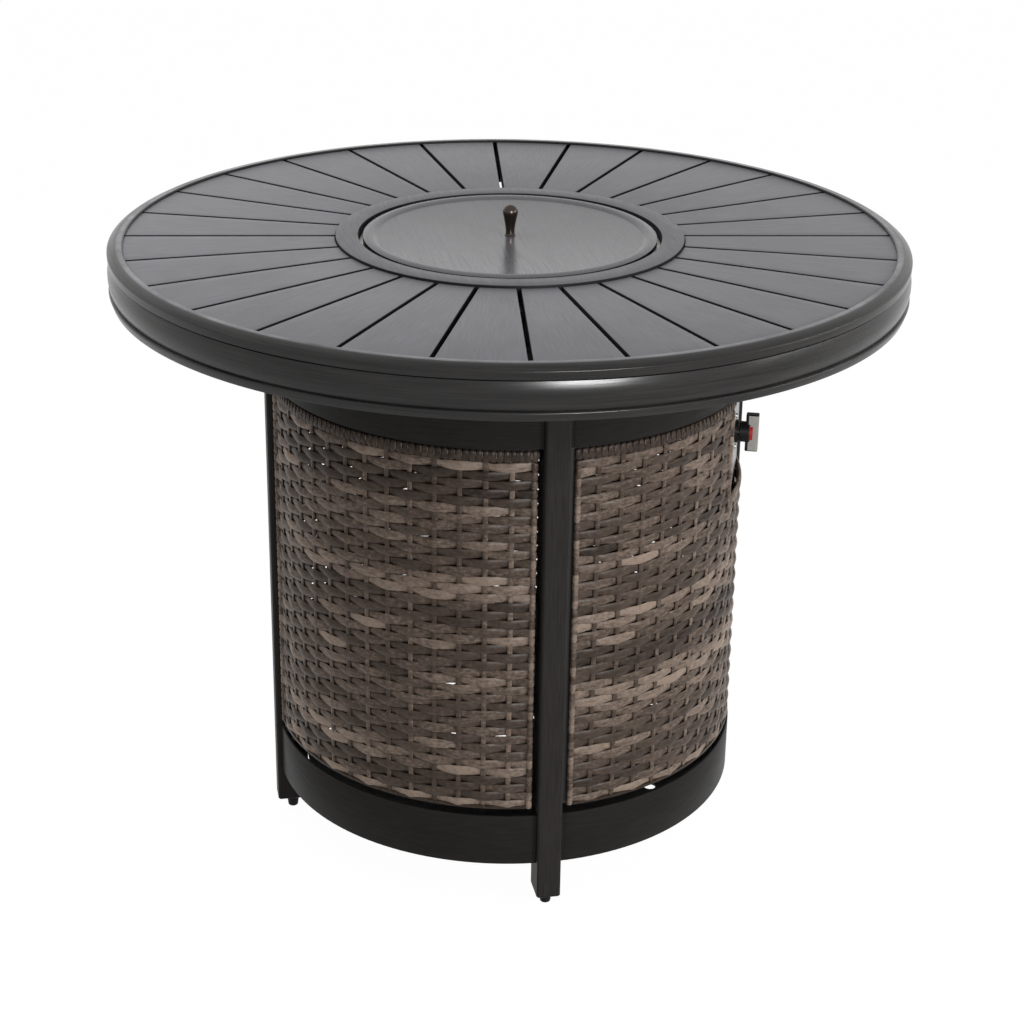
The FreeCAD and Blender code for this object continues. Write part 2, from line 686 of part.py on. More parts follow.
def make_plug(side, angle):
    """The moulded insert under a leg, bored for the foot's stem."""
    half_depth = plain(D["leg_outside"] - D["leg_inside"]) / 2
    centre = plain(D["leg_outside"] + D["leg_inside"]) / 2
    half_width = plain(D["leg_width"]) / 2
    wall = plain(D["leg_wall"])
    flange = pad(f"plug_{side}_flange", [rounded_block(half_depth, half_width, LEG_RADIUS, centre)],
                 D["plug_flange"], (0, 0, D["leg_bottom"]), angle)
    chamfered = doc.addObject("Part::Chamfer", f"plug_{side}_rounded")
    chamfered.Base = flange
    doc.recompute()
    rounding = 1.8
    edges = [(number, rounding, rounding) for number, edge in enumerate(flange.Shape.Edges, start=1)
             if edge.BoundBox.ZMax < plain(D["leg_bottom"]) + 0.1]
    chamfered.Edges = edges
    body = pad(f"plug_{side}_body",
               [rounded_block(half_depth - wall - 0.1, half_width - wall - 0.1, 1, centre)],
               PLUG_DEPTH, (0, 0, D["leg_bottom"] + D["plug_flange"]), angle)
    bore = rod(f"plug_{side}_bore", STEM_RADIUS + 0.05, 60, (D["foot_radius"], 0, 0), turn=angle)
    return cut(f"plug_{side}", fused(f"plug_{side}_blank", [chamfered, body]), [bore])


def make_foot(side, angle):
    """A levelling foot: a tapered pad on a threaded stem."""
    x, y, z = around(angle, plain(D["foot_radius"]))
    head = D["leg_bottom"] - 0.6
    steps = [(0, 0), (5.2, 0), (6, 0.8), (7.6, head - 1.2), (7, head), (STEM_RADIUS, head),
             (STEM_RADIUS, head + PLUG_DEPTH), (0, head + PLUG_DEPTH)]
    foot = turned(f"foot_{side}", steps)
    foot.Placement = FreeCAD.Placement(Vector(x, y, z), FreeCAD.Rotation())
    return foot


for side, angle in LEG_ANGLES.items():
    keep(make_leg(side, angle), make_foot(side, angle))
keep(group("leg_plugs", [make_plug(side, angle) for side, angle in LEG_ANGLES.items()]))


def make_top_bolts():
    """Bolts from inside the bars down into the legs' top plates, each with its nut."""
    bolts = []
    for side, angle in LEG_ANGLES.items():
        place = around(angle, plain(D["foot_radius"]), 0, plain(bar_under) + BAR_WALL)
        bolt = screw(f"top_bolt_{side}", place, (0, 0, -1), 8, 6, 4, 16)
        nut_place = around(angle, plain(D["foot_radius"]), 0, plain(bar_under) - LEG_TOP_PLATE - 6.5)
        bolts.append(fused(f"top_bolt_{side}_set", [bolt, rod(f"top_nut_{side}", 7, 6.5, nut_place)]))
    return group("top_bolts", bolts)


keep(make_top_bolts())


# The cylinder's tray in the foot of the drum

TRAY_LIP, TRAY_STEP = 8, 1
COLLAR_RADIUS, COLLAR_GAUGE, COLLAR_HEIGHT = 106, 2.5, 20


def make_tray():
    """A pressed disc with a raised seat, notched round the legs and holed to let gas out."""
    gauge = D["tray_gauge"]
    low, high = D["tray_height"], D["tray_height"] + D["tray_gauge"]
    rim_radius = plate_inside - 0.2
    steps = [(10, low + TRAY_STEP), (COLLAR_RADIUS - 3, low + TRAY_STEP), (COLLAR_RADIUS - 2, low),
             (rim_radius - gauge, low), (rim_radius - gauge, low - TRAY_LIP + 2),
             (rim_radius, low - TRAY_LIP + 2), (rim_radius, high), (COLLAR_RADIUS - 1, high),
             (COLLAR_RADIUS - 2, high + TRAY_STEP), (10, high + TRAY_STEP)]
    notches = []
    for side, angle in LEG_ANGLES.items():
        half = plain(D["leg_width"]) / 2 + FLANGE_GAUGE + 0.4
        corner = (plain(D["leg_inside"]) - 1, -half, 50)
        notches.append(box(f"tray_notch_{side}", corner, (60, 2 * half, 40), angle))
    vents = [rod(f"tray_vent_{step}", 7, 20, (radius, 0, 60), turn=30 * step + 15)
             for radius in (60, 160, 215) for step in range(12)]
    return cut("tank_tray", turned("tray_blank", steps), notches + vents)


def make_collar():
    """The rolled ring that keeps the cylinder's foot in place."""
    low = D["tray_height"] + D["tray_gauge"]
    return flat_ring("tank_collar", COLLAR_RADIUS, COLLAR_RADIUS + COLLAR_GAUGE, low, COLLAR_HEIGHT)


keep(make_tray(), make_collar())


# The burner: pan, ring, mixer, feed and igniter

NIPPLE_RADIUS, NIPPLE_BORE = 10, 6
PROBE_RADIUS = 120
BURNER_HUB, NIPPLE_LENGTH, SPOKE_ANGLE = 15, 45, 25
PROBE_ANGLES = {"electrode": 60, "thermocouple": 76}
pan_floor = pan_bottom + D["pan_gauge"]
burner_height = pan_floor + 20


def make_pan():
    """A drawn pan that hangs by its flange, with a hole for the feed, two for the probes and drains."""
    gauge = D["pan_gauge"]
    radius = D["pan_radius"]
    steps = [(5, pan_bottom), (radius - 8, pan_bottom, 8), (radius, pan_bottom + 8), (radius, ledge),
             (D["hub_bore"] - 1, ledge), (D["hub_bore"] - 1, pan_flange), (radius - gauge, pan_flange),
             (radius - gauge, pan_bottom + 8, -6.5), (radius - 8, pan_floor), (5, pan_floor)]
    holes = [rod("pan_feed_hole", NIPPLE_RADIUS + 0.2, 30, (0, 0, plain(pan_bottom) - 10))]
    for probe, angle in PROBE_ANGLES.items():
        holes.append(rod(f"pan_{probe}_hole", 3.8, 30, (PROBE_RADIUS, 0, plain(pan_bottom) - 10), turn=angle))
    holes += [rod(f"pan_drain_{step}", 3, 30, (140, 0, plain(pan_bottom) - 10), turn=60 * step + 10)
              for step in range(6)]
    return cut("burner_pan", turned("pan_blank", steps), holes)


def make_burner_ring():
    """A welded ring tube with two spokes, a hub and a threaded nipple; gas leaves by its ports."""
    height = plain(burner_height)
    tube, ring = plain(D["burner_tube"]), plain(D["burner_radius"])
    shells, bores = [], []
    for label, thinner, kept in (("shell", 0, shells), ("bore", 1.5, bores)):
        torus = doc.addObject("Part::Torus", f"burner_{label}")
        bind(torus, "Radius1", D["burner_radius"])
        bind(torus, "Radius2", D["burner_tube"] - thinner)
        torus.Placement.Base = Vector(0, 0, height)
        kept.append(torus)
        for step, angle in enumerate((SPOKE_ANGLE, SPOKE_ANGLE + 180)):
            spoke = tube - 2 - thinner
            kept.append(rod(f"burner_spoke_{label}_{step}", spoke, ring, (0, 0, height), (1, 0, 0), angle))
    foot = height - tube - NIPPLE_LENGTH
    shells.append(rod("burner_hub", BURNER_HUB, 2 * tube, (0, 0, height - tube)))
    shells.append(rod("burner_nipple", NIPPLE_RADIUS, NIPPLE_LENGTH + 1, (0, 0, foot)))
    bores.append(rod("burner_nipple_bore", NIPPLE_BORE, NIPPLE_LENGTH + 4, (0, 0, foot - 1)))
    ports = [rod(f"burner_port_{step}", 1.3, 12, (ring, 0, height + 4), turn=12 * step) for step in range(30)]
    return cut("burner_ring", fused("burner_blank", shells), bores + ports)


LOCKNUT_HEIGHT = 7


def make_locknut():
    """The hexagon nut that clamps the nipple under the pan."""
    prism = doc.addObject("Part::Prism", "locknut_blank")
    prism.Polygon = 6
    prism.Circumradius = 17
    prism.Height = LOCKNUT_HEIGHT
    prism.Placement.Base = Vector(0, 0, plain(pan_bottom) - LOCKNUT_HEIGHT)
    bore = rod("locknut_bore", NIPPLE_RADIUS, 20, (0, 0, plain(pan_bottom) - 15))
    return cut("burner_locknut", prism, [bore])


MIXER_LENGTH, ELBOW_HEIGHT = 46, 20
nipple_end = plain(burner_height - D["burner_tube"]) - NIPPLE_LENGTH
mixer_low = plain(pan_bottom) - LOCKNUT_HEIGHT - MIXER_LENGTH
feed_height = mixer_low - ELBOW_HEIGHT / 2
PIPE_RADIUS, PIPE_BEND = 4, 25
VALVE_MIDDLE, VALVE_SIDE = 240, 32
ELBOW_REACH = 30


def make_mixer():
    """The tube where air joins the gas through four windows."""
    steps = [(NIPPLE_BORE - 1, mixer_low), (13, mixer_low), (13, mixer_low + MIXER_LENGTH),
             (NIPPLE_RADIUS, mixer_low + MIXER_LENGTH), (NIPPLE_RADIUS, nipple_end), (NIPPLE_BORE, nipple_end),
             (NIPPLE_BORE, mixer_low + 4), (NIPPLE_BORE - 1, mixer_low + 4)]
    windows = [box(f"mixer_window_{step}", (4, -4, mixer_low + 8), (12, 8, 16), 90 * step + 45)
               for step in range(4)]
    return cut("air_mixer", turned("mixer_blank", steps), windows)


def make_elbow():
    """The brass elbow with the gas jet, from the feed pipe up into the mixer."""
    upright = rod("elbow_upright", 11, ELBOW_HEIGHT, (0, 0, mixer_low - ELBOW_HEIGHT))
    arm = rod("elbow_arm", 7.5, ELBOW_REACH, (0, 0, feed_height), (1, 0, 0), CONTROL_ANGLE)
    nut = rod("elbow_nut", 9, 9, (ELBOW_REACH - 12, 0, feed_height), (1, 0, 0), CONTROL_ANGLE)
    jet = rod("elbow_jet", NIPPLE_BORE - 1.2, 6, (0, 0, mixer_low - 1))
    bores = [rod("elbow_jet_bore", 0.8, 14, (0, 0, feed_height)),
             rod("elbow_arm_bore", 2.6, ELBOW_REACH, (0, 0, feed_height), (1, 0, 0), CONTROL_ANGLE)]
    return cut("orifice_elbow", fused("elbow_blank", [upright, arm, nut, jet]), bores)


valve_low = plain(D["control_height"]) - VALVE_SIDE / 2
pipe_start = valve_low + VALVE_SIDE + 10


def make_pipe():
    """The feed pipe: up from the valve, one bend, and in under the pan to the elbow."""
    bend_low = feed_height - PIPE_BEND
    turn_angle = math.radians(CONTROL_ANGLE)
    out = Vector(math.cos(turn_angle), math.sin(turn_angle), 0)
    up = Vector(0, 0, 1)
    start = out * VALVE_MIDDLE + up * pipe_start
    corner = out * VALVE_MIDDLE + up * bend_low
    half_way = PIPE_BEND * math.sqrt(0.5)
    middle = out * (VALVE_MIDDLE - PIPE_BEND + half_way) + up * (bend_low + half_way)
    level = out * (VALVE_MIDDLE - PIPE_BEND) + up * feed_height
    finish = out * ELBOW_REACH + up * feed_height
    spine = Part.Wire([Part.LineSegment(start, corner).toShape(), Part.Arc(corner, middle, level).toShape(),
                       Part.LineSegment(level, finish).toShape()])
    outer = Part.Wire(Part.makeCircle(PIPE_RADIUS, start, up))
    inner = Part.Wire(Part.makeCircle(PIPE_RADIUS - 1, start, up))
    pipe = doc.addObject("Part::Feature", "gas_pipe")
    pipe.Shape = spine.makePipeShell([outer], True, False).cut(spine.makePipeShell([inner], True, False))
    expected = math.pi * (PIPE_RADIUS ** 2 - (PIPE_RADIUS - 1) ** 2) * spine.Length
    print(f"gas pipe: volume {pipe.Shape.Volume:.0f}, section times length {expected:.0f}, bend {PIPE_BEND}")
    return pipe


def make_probe(name, radius, tip_radius, angle):
    """A probe that comes up through the pan's floor, with a thinner tip over the ring's ports."""
    low = plain(pan_bottom) - 12
    return fused(name, [rod(f"{name}_body", radius, 44, (PROBE_RADIUS, 0, low), turn=angle),
                        rod(f"{name}_tip", tip_radius, 12, (PROBE_RADIUS, 0, low + 44), turn=angle)])


def make_probe_bracket():
    gauge = 1.5
    low = plain(pan_floor)
    angles = list(PROBE_ANGLES.values())
    plate = band("probe_plate", PROBE_RADIUS - 9, PROBE_RADIUS + 9, low, low + gauge, 15, sum(angles) / 2)
    holes = [rod(f"probe_hole_{angle}", 3.6, 20, (PROBE_RADIUS, 0, low - 5), turn=angle) for angle in angles]
    return cut("probe_bracket", plate, holes)


SHIELD_RADIUS, SHIELD_GAUGE = 222, 1.2
ROD_NUT_RADIUS, ROD_NUT = 5.5, 3.9


def make_shield():
    """The sheet that keeps the burner's heat off the cylinder."""
    low = plain(D["shield_height"])
    disc = rod("shield_disc", SHIELD_RADIUS, SHIELD_GAUGE, (0, 0, low))
    holes = [rod(f"shield_hole_{side}", ROD_RADIUS + 0.05, 10, (ROD_PLACE, 0, low - 4), turn=angle)
             for side, angle in LEG_ANGLES.items()]
    return cut("heat_shield", disc, holes)


def make_shield_rods():
    """Four rods that hang the heat shield from the bars, with a nut each side of the sheet."""
    under = plain(D["shield_height"]) - SEAT - ROD_NUT
    over = plain(D["shield_height"]) + SHIELD_GAUGE + SEAT
    length = plain(bar_under) + 6 - under
    rods = []
    for side, angle in LEG_ANGLES.items():
        rods.append(fused(f"shield_rod_{side}", [
            rod(f"shield_stud_{side}", ROD_RADIUS, length, (ROD_PLACE, 0, under), turn=angle),
            rod(f"shield_nut_{side}", ROD_NUT_RADIUS, ROD_NUT, (ROD_PLACE, 0, under), turn=angle),
            rod(f"shield_top_nut_{side}", ROD_NUT_RADIUS, ROD_NUT, (ROD_PLACE, 0, over), turn=angle)]))
    return group("shield_rods", rods)


STONE_REACH, STONE_HALF = 19, 12


def stone_places():
    """Rings of stones on the pan's floor and over the burner, clear of the tube and the probes."""
    low = plain(pan_floor) + STONE_REACH - 1
    high = plain(burner_height + D["burner_tube"]) + STONE_REACH - 1
    probes = [around(angle, PROBE_RADIUS)[:2] for angle in PROBE_ANGLES.values()]
    spots = [(135, 18 * step, low) for step in range(20)]
    spots += [(54, SPOKE_ANGLE + half + 40 + 50 * step, low) for half in (0, 180) for step in range(3)]
    spots += [(135, 18 * step + 9, high) for step in range(20)]
    spots += [(97, 26 * step, high) for step in range(14)]
    spots += [(56, 45 * step, high) for step in range(8)]
    spots += [(0, 0, high)]
    places = []
    for radius, angle, height in spots:
        x, y, _ = around(angle, radius)
        if min(math.dist((x, y), probe) for probe in probes) > STONE_REACH + 3:
            places.append(Vector(x, y, height))
    return places


def make_stones():
    """Broken lava rock: each stone is the common part of two tilted blocks."""
    stones = []
    for index, place in enumerate(stone_places()):
        blocks = []
        for tilt in (index * 47 % 90, index * 71 % 90 + 33):
            half = STONE_HALF + 1.4 * math.sin(index * 1.7 + tilt)
            block = Part.makeBox(2 * half, 1.8 * half, 1.7 * half, Vector(-half, -0.9 * half, -0.85 * half))
            spin = FreeCAD.Rotation(Vector(math.sin(index), math.cos(index * 1.3), 0.6), tilt)
            block.Placement = FreeCAD.Placement(place, spin)
            blocks.append(block)
        stones.append(blocks[0].common(blocks[1]).removeSplitter())
    rocks = doc.addObject("Part::Feature", "lava_rocks")
    rocks.Shape = Part.makeCompound([solid for stone in stones for solid in stone.Solids])
    return rocks


keep(make_pan(), make_burner_ring(), make_locknut(), make_mixer(), make_elbow(), make_pipe())
keep(make_probe("igniter_electrode", 3.5, 1.2, PROBE_ANGLES["electrode"]))
keep(make_probe("thermocouple", 3, 2, PROBE_ANGLES["thermocouple"]))
keep(make_probe_bracket(), make_shield(), make_shield_rods(), make_stones())


# The lid over the burner

KNOB_HEIGHT = 36
dish = slat_top + 0.5


def make_lid():
    """A spun lid: its skirt stands on the pan's flange, and its dish lies inside a raised bead."""
    radius, bead = D["lid_radius"], D["lid_bead"]
    gauge = 2
    crest = top + 1
    steps = [(2.6, dish - gauge), (radius - bead - 0.5, dish - gauge), (radius - bead + 2, crest - gauge),
             (radius - 3, crest - gauge), (radius - gauge, crest - 3), (radius - gauge, pan_flange),
             (radius, pan_flange), (radius, crest - 3, 3), (radius - 3, crest), (radius - bead + 0.5, crest),
             (radius - bead - 1.5, dish), (2.6, dish)]
    return turned("burner_lid", steps)


def make_lid_knob():
    """A pear-shaped knob on a small base ring, bored for its screw."""
    foot = plain(dish)
    crown = foot + KNOB_HEIGHT
    ball = 8.6
    neck = 5.2
    lift = crown - ball
    steps = [(2.55, foot), (5.9, foot), (5.9, foot + 1.6), (neck, foot + 2.2), (neck, foot + 7, -70),
             (8.3, lift - math.sqrt(ball ** 2 - 8.3 ** 2), ball), (ball, lift, ball), (0, crown),
             (0, foot + 14), (2.55, foot + 14)]
    return turned("lid_knob", steps)


def make_lid_screw():
    low = plain(dish) - 2
    return screw("lid_knob_screw", (0, 0, low), (0, 0, 1), 5.5, 2.8, 2.5, 15)


keep(make_lid(), make_lid_knob(), make_lid_screw())


# The control: housing, plate, valve and knob

PLATE_WIDTH, PLATE_HEIGHT, PLATE_GAUGE = 116, 118, 1.5
HOUSING_DEPTH, HOUSING_WALL = 45, 1.5
STEM_HOLE = 6
face = plain(D["control_face"])
axis_height = plain(D["control_height"])


def control_box(name, near, far, half_width, low, high):
    return box(name, (near, -half_width, low), (far - near, 2 * half_width, high - low), CONTROL_ANGLE)


def control_rod(name, radius, near, far, across=0, height=0):
    return rod(name, radius, far - near, (near, across, axis_height + height), (1, 0, 0), CONTROL_ANGLE)


PLATE_LOW = NOTCH_LOW + 1
PLATE_SCREWS = [(0, -19), (0, 19), (-52, 52), (52, 52)]


def make_housing():
    """A folded box that fills the notch in the woven panel and holds the valve."""
    half = plain(D["housing_width"]) / 2
    low, high = NOTCH_LOW, plain(panel_top) - 1
    shell = control_box("housing_shell", face - HOUSING_DEPTH, face, half, low, high)
    wall = HOUSING_WALL
    room = control_box("housing_room", face - HOUSING_DEPTH - 1, face - wall, half - wall,
                       low + wall, high - wall)
    inlet = rod("housing_inlet_hole", 12, 30, (VALVE_MIDDLE, 0, low - 10), turn=CONTROL_ANGLE)
    holes = [control_rod("housing_stem_hole", STEM_HOLE + 2, face - 5, face + 5)]
    holes += [control_rod(f"housing_screw_hole_{step}", 1.55, face - 5, face + 5, *spot)
              for step, spot in enumerate(PLATE_SCREWS)]
    return cut("control_housing", shell, [room, inlet] + holes)


def make_control_plate():
    """A plain brushed plate, with a hole for the stem and four for its screws."""
    plate = control_box("control_plate_blank", face + 0.05, face + 0.05 + PLATE_GAUGE, PLATE_WIDTH / 2,
                        PLATE_LOW, PLATE_LOW + PLATE_HEIGHT)
    holes = [control_rod("plate_stem_hole", STEM_HOLE + 1, face - 5, face + 5)]
    holes += [control_rod(f"plate_screw_hole_{step}", 1.55, face - 5, face + 5, *spot)
              for step, spot in enumerate(PLATE_SCREWS)]
    return cut("control_plate", plate, holes)


def make_control_screws():
    out = face + 0.05 + PLATE_GAUGE
    screws = []
    for step, (across, height) in enumerate(PLATE_SCREWS):
        place = around(CONTROL_ANGLE, out, across, axis_height + height)
        inward = tuple(-value for value in heading(CONTROL_ANGLE))
        screws.append(screw(f"control_screw_{step}", place, inward, 3, 1.4, 1.5, 6))
    return group("control_screws", screws)


STEM_RADIUS_KNOB, STEM_REACH = 3, 12
PLUNGER_RADIUS = 5
KNOB_TRAVEL = 4
BEZEL_HEIGHT, HUB_RADIUS, HUB_LENGTH = 3, 12.2, 12.4
BAR_LENGTH, BAR_WIDTH, BAR_DEPTH = 45.5, 11, 15
knob_back = face + 0.05 + PLATE_GAUGE + KNOB_TRAVEL + 0.3


def make_valve():
    """The valve's body: a block with a neck towards the plate and a boss where the pipe starts."""
    near, far = VALVE_MIDDLE - 14, VALVE_MIDDLE + 16
    block = control_box("valve_block", near, far, VALVE_SIDE / 2, valve_low, valve_low + VALVE_SIDE)
    neck = control_rod("valve_neck", 9, far, face - HOUSING_WALL)
    boss = rod("valve_boss", 7, 10, (VALVE_MIDDLE, 0, valve_low + VALVE_SIDE), turn=CONTROL_ANGLE)
    seat = control_rod("valve_seat", PLUNGER_RADIUS + PIN_CLEARANCE, near + 4, face + 5)
    port = rod("valve_port", 2.6, 16, (VALVE_MIDDLE, 0, valve_low + VALVE_SIDE - 2), turn=CONTROL_ANGLE)
    return cut("gas_valve", fused("valve_blank", [block, neck, boss]), [seat, port])


INLET_RADIUS, INLET_LENGTH, INLET_BODY = 7.94, 14, 51


def make_inlet():
    """The long brass flare fitting under the valve, where the regulator's hose screws on."""
    low = valve_low - INLET_BODY
    body = doc.addObject("Part::Prism", "inlet_body")
    body.Polygon = 6
    body.Circumradius = 11
    body.Height = INLET_BODY
    placed(body, CONTROL_ANGLE, (VALVE_MIDDLE, 0, low))
    end = low - INLET_LENGTH
    tail = rod("inlet_tail", INLET_RADIUS, INLET_LENGTH, (VALVE_MIDDLE, 0, end), turn=CONTROL_ANGLE)
    cone = doc.addObject("Part::Cone", "inlet_cone")
    cone.Radius1, cone.Radius2, cone.Height = 4.5, INLET_RADIUS - 0.4, 4
    placed(cone, CONTROL_ANGLE, (VALVE_MIDDLE, 0, end - 4))
    bore = rod("inlet_bore", 3, INLET_BODY + INLET_LENGTH + 20, (VALVE_MIDDLE, 0, end - 10), turn=CONTROL_ANGLE)
    return cut("valve_inlet", fused("inlet_blank", [body, tail, cone]), [bore])


def make_plunger():
    """The sleeve that the knob presses into the valve; it slides but doesn't turn."""
    near = VALVE_MIDDLE - 14 + 4 + KNOB_TRAVEL + 1
    sleeve = control_rod("plunger_sleeve", PLUNGER_RADIUS, near, face - 6)
    bore = control_rod("plunger_bore", STEM_RADIUS_KNOB + PIN_CLEARANCE, near + 6, face)
    return cut("valve_plunger", sleeve, [bore])


def make_stem():
    """The spindle with a flat for the knob."""
    near = VALVE_MIDDLE - 14 + 4 + KNOB_TRAVEL + 1 + 6.2
    spindle = control_rod("stem_round", STEM_RADIUS_KNOB, near, knob_back + STEM_REACH)
    flat = box("stem_flat", (knob_back, 1.6, axis_height - 5), (STEM_REACH + 5, 5, 10), CONTROL_ANGLE)
    return cut("valve_stem", spindle, [flat])


def make_bezel():
    """The fixed black ring round the knob, on the plate."""
    low = face + 0.05 + PLATE_GAUGE
    ring = control_rod("bezel_blank", HUB_RADIUS + 1.5, low, low + BEZEL_HEIGHT)
    bore = control_rod("bezel_bore", HUB_RADIUS + 0.3, low - 1, low + BEZEL_HEIGHT + 1)
    return cut("knob_bezel", ring, [bore])


def make_hub():
    """The knob's black hub, with a D-shaped bore for the stem."""
    hub = control_rod("hub_blank", HUB_RADIUS, knob_back, knob_back + HUB_LENGTH)
    edge = doc.addObject("Part::Chamfer", "hub_edge")
    edge.Base = hub
    doc.recompute()
    edge.Edges = [(number, 1, 1) for number, kind in enumerate(hub.Shape.Edges, start=1)
                  if kind.Curve.TypeId == "Part::GeomCircle"]
    bore = control_rod("hub_bore", STEM_RADIUS_KNOB, knob_back - 1, knob_back + STEM_REACH)
    key = box("hub_key", (knob_back - 1, 1.6, axis_height - 5), (STEM_REACH + 1, 5, 10), CONTROL_ANGLE)
    return cut("knob_hub", edge, [cut("hub_d_bore", bore, [key])])


RING_RADIUS, RING_LENGTH = 9.9, 3.4


def make_knob_ring():
    """The red collar between the hub and the grip."""
    low = knob_back + HUB_LENGTH
    return control_rod("knob_ring", RING_RADIUS, low, low + RING_LENGTH)


def make_knob_bar():
    """The grip: a flat bar across the knob, recessed for the hub and the collar."""
    far = knob_back + HUB_LENGTH + 10
    near = far - BAR_DEPTH
    half = BAR_LENGTH / 2
    block = box("bar_blank", (near, -BAR_WIDTH / 2, axis_height - half), (BAR_DEPTH, BAR_WIDTH, BAR_LENGTH),
                CONTROL_ANGLE)
    rounded = doc.addObject("Part::Fillet", "bar_rounded")
    rounded.Base = block
    doc.recompute()
    rounded.Edges = [(number, 1.6, 1.6) for number, _ in enumerate(block.Shape.Edges, start=1)]
    hub_space = control_rod("bar_hub_space", HUB_RADIUS + 0.05, near - 1, knob_back + HUB_LENGTH)
    ring_space = control_rod("bar_ring_space", RING_RADIUS + 0.05, near, knob_back + HUB_LENGTH + RING_LENGTH)
    return cut("knob_bar", rounded, [hub_space, ring_space])


keep(make_housing(), make_control_plate(), make_control_screws(), make_valve(), make_inlet())
keep(make_plunger(), make_stem(), make_bezel(), make_hub(), make_knob_ring(), make_knob_bar())


# Checks of every object, and the files

doc.recompute()
failed = [thing.Name for thing in doc.Objects if "Invalid" in thing.State or "Error" in thing.State]
if failed:
    raise RuntimeError(f"objects that failed: {failed}")
names = [piece.Label for piece in nodes]
if len(set(names)) != len(names):
    raise RuntimeError("two nodes share a name")
for piece in nodes:
    if piece.Shape.isNull() or not piece.Shape.isValid() or not piece.Shape.Solids:
        raise RuntimeError(f"{piece.Label} has no valid solid")
for piece in nodes:
    piece.Shape.exportStep(f"parts/{piece.Label}.step")
print(f"{len(nodes)} nodes, {sum(len(piece.Shape.Solids) for piece in nodes)} solids")
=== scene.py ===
"""Looks of a round gas fire table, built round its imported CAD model."""

import math
import random

import bmesh
import bpy
from mathutils import Matrix, Vector


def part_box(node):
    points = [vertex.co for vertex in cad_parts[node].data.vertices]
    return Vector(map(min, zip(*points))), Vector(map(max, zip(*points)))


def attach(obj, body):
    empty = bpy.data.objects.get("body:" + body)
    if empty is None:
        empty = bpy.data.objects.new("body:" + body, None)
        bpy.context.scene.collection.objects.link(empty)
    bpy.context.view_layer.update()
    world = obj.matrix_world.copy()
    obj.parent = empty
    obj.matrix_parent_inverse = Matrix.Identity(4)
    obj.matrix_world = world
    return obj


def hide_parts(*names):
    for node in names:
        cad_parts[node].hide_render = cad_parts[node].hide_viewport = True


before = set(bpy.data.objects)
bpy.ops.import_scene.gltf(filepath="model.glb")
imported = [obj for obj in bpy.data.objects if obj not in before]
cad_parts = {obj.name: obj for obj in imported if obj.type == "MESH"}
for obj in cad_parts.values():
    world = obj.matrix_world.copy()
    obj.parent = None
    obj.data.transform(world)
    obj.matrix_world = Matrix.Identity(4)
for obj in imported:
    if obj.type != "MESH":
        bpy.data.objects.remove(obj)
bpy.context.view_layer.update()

bl_info = {
    "name": "Fire Table Looks",
    "version": (1, 0, 0),
    "blender": (4, 5, 0),
    "location": "View3D > Sidebar > Fire Table",
    "description": "Slatted top, woven panels, burner and finishes of a round gas fire table",
    "category": "Object",
}

MM = 0.001
SHARP = math.radians(32)
CENTRE = (0, 0, 0)
UP = (0, 0, 1)


# Sizes and colours that a user would change

class FireTableSizes(bpy.types.PropertyGroup):
    """Sizes of the table's visible pieces, in metres"""

    slat_count: bpy.props.IntProperty(
        name="Slats", description="Slats round the top", default=28, min=6)
    slot_width: bpy.props.FloatProperty(
        name="Slot", description="Width of the slot between two slats", default=0.005, unit="LENGTH")
    weave_radius: bpy.props.FloatProperty(
        name="Weave radius", description="Radius of the middle of the woven skin", default=0.2771,
        unit="LENGTH")
    row_count: bpy.props.IntProperty(
        name="Rows", description="Strands between a panel's lower and upper border", default=41, min=4)
    stake_count: bpy.props.IntProperty(
        name="Stakes", description="Upright stakes in a panel", default=13, min=3)
    strand_thickness: bpy.props.FloatProperty(
        name="Strand thickness", description="Thickness of a woven strand", default=0.0014, unit="LENGTH")
    weave_depth: bpy.props.FloatProperty(
        name="Weave depth", description="How far a strand swings in and out round the stakes",
        default=0.0018, unit="LENGTH")


class FireTableColours(bpy.types.PropertyGroup):
    """Colours of the table's finishes"""

    # Slate frame and slate top are one slate paint in two copies: the top's lighter copy is painted light on
    # level faces, the frame's darker copy is painted shade on upright faces.
    slate: bpy.props.FloatVectorProperty(
        name="Slate frame", description="Painted frame, legs and rim", subtype="COLOR",
        size=4, default=(0.024, 0.022, 0.021, 1))
    slate_top: bpy.props.FloatVectorProperty(
        name="Slate top", description="Painted slats, ring and lid", subtype="COLOR",
        size=4, default=(0.162, 0.158, 0.172, 1))
    resin_dark: bpy.props.FloatVectorProperty(
        name="Resin, dark", description="Darkest woven strands", subtype="COLOR",
        size=4, default=(0.026, 0.0175, 0.0128, 1))
    resin_light: bpy.props.FloatVectorProperty(
        name="Resin, light", description="Lightest woven strands", subtype="COLOR",
        size=4, default=(0.345, 0.263, 0.208, 1))
    floor: bpy.props.FloatVectorProperty(
        name="Floor", description="Studio floor", subtype="COLOR", size=4, default=(0.9, 0.9, 0.9, 1))


def sizes():
    return bpy.context.scene.fire_table_sizes


def colours():
    return bpy.context.scene.fire_table_colours


# Meshes

ARC_STEP = 9                # degrees between the points of an arc


def point(radius, height, angle=0.0):
    """A point in metres from a radius and a height in mm and an angle in degrees."""
    a = math.radians(angle)
    return Vector((radius * math.cos(a), radius * math.sin(a), height)) * MM


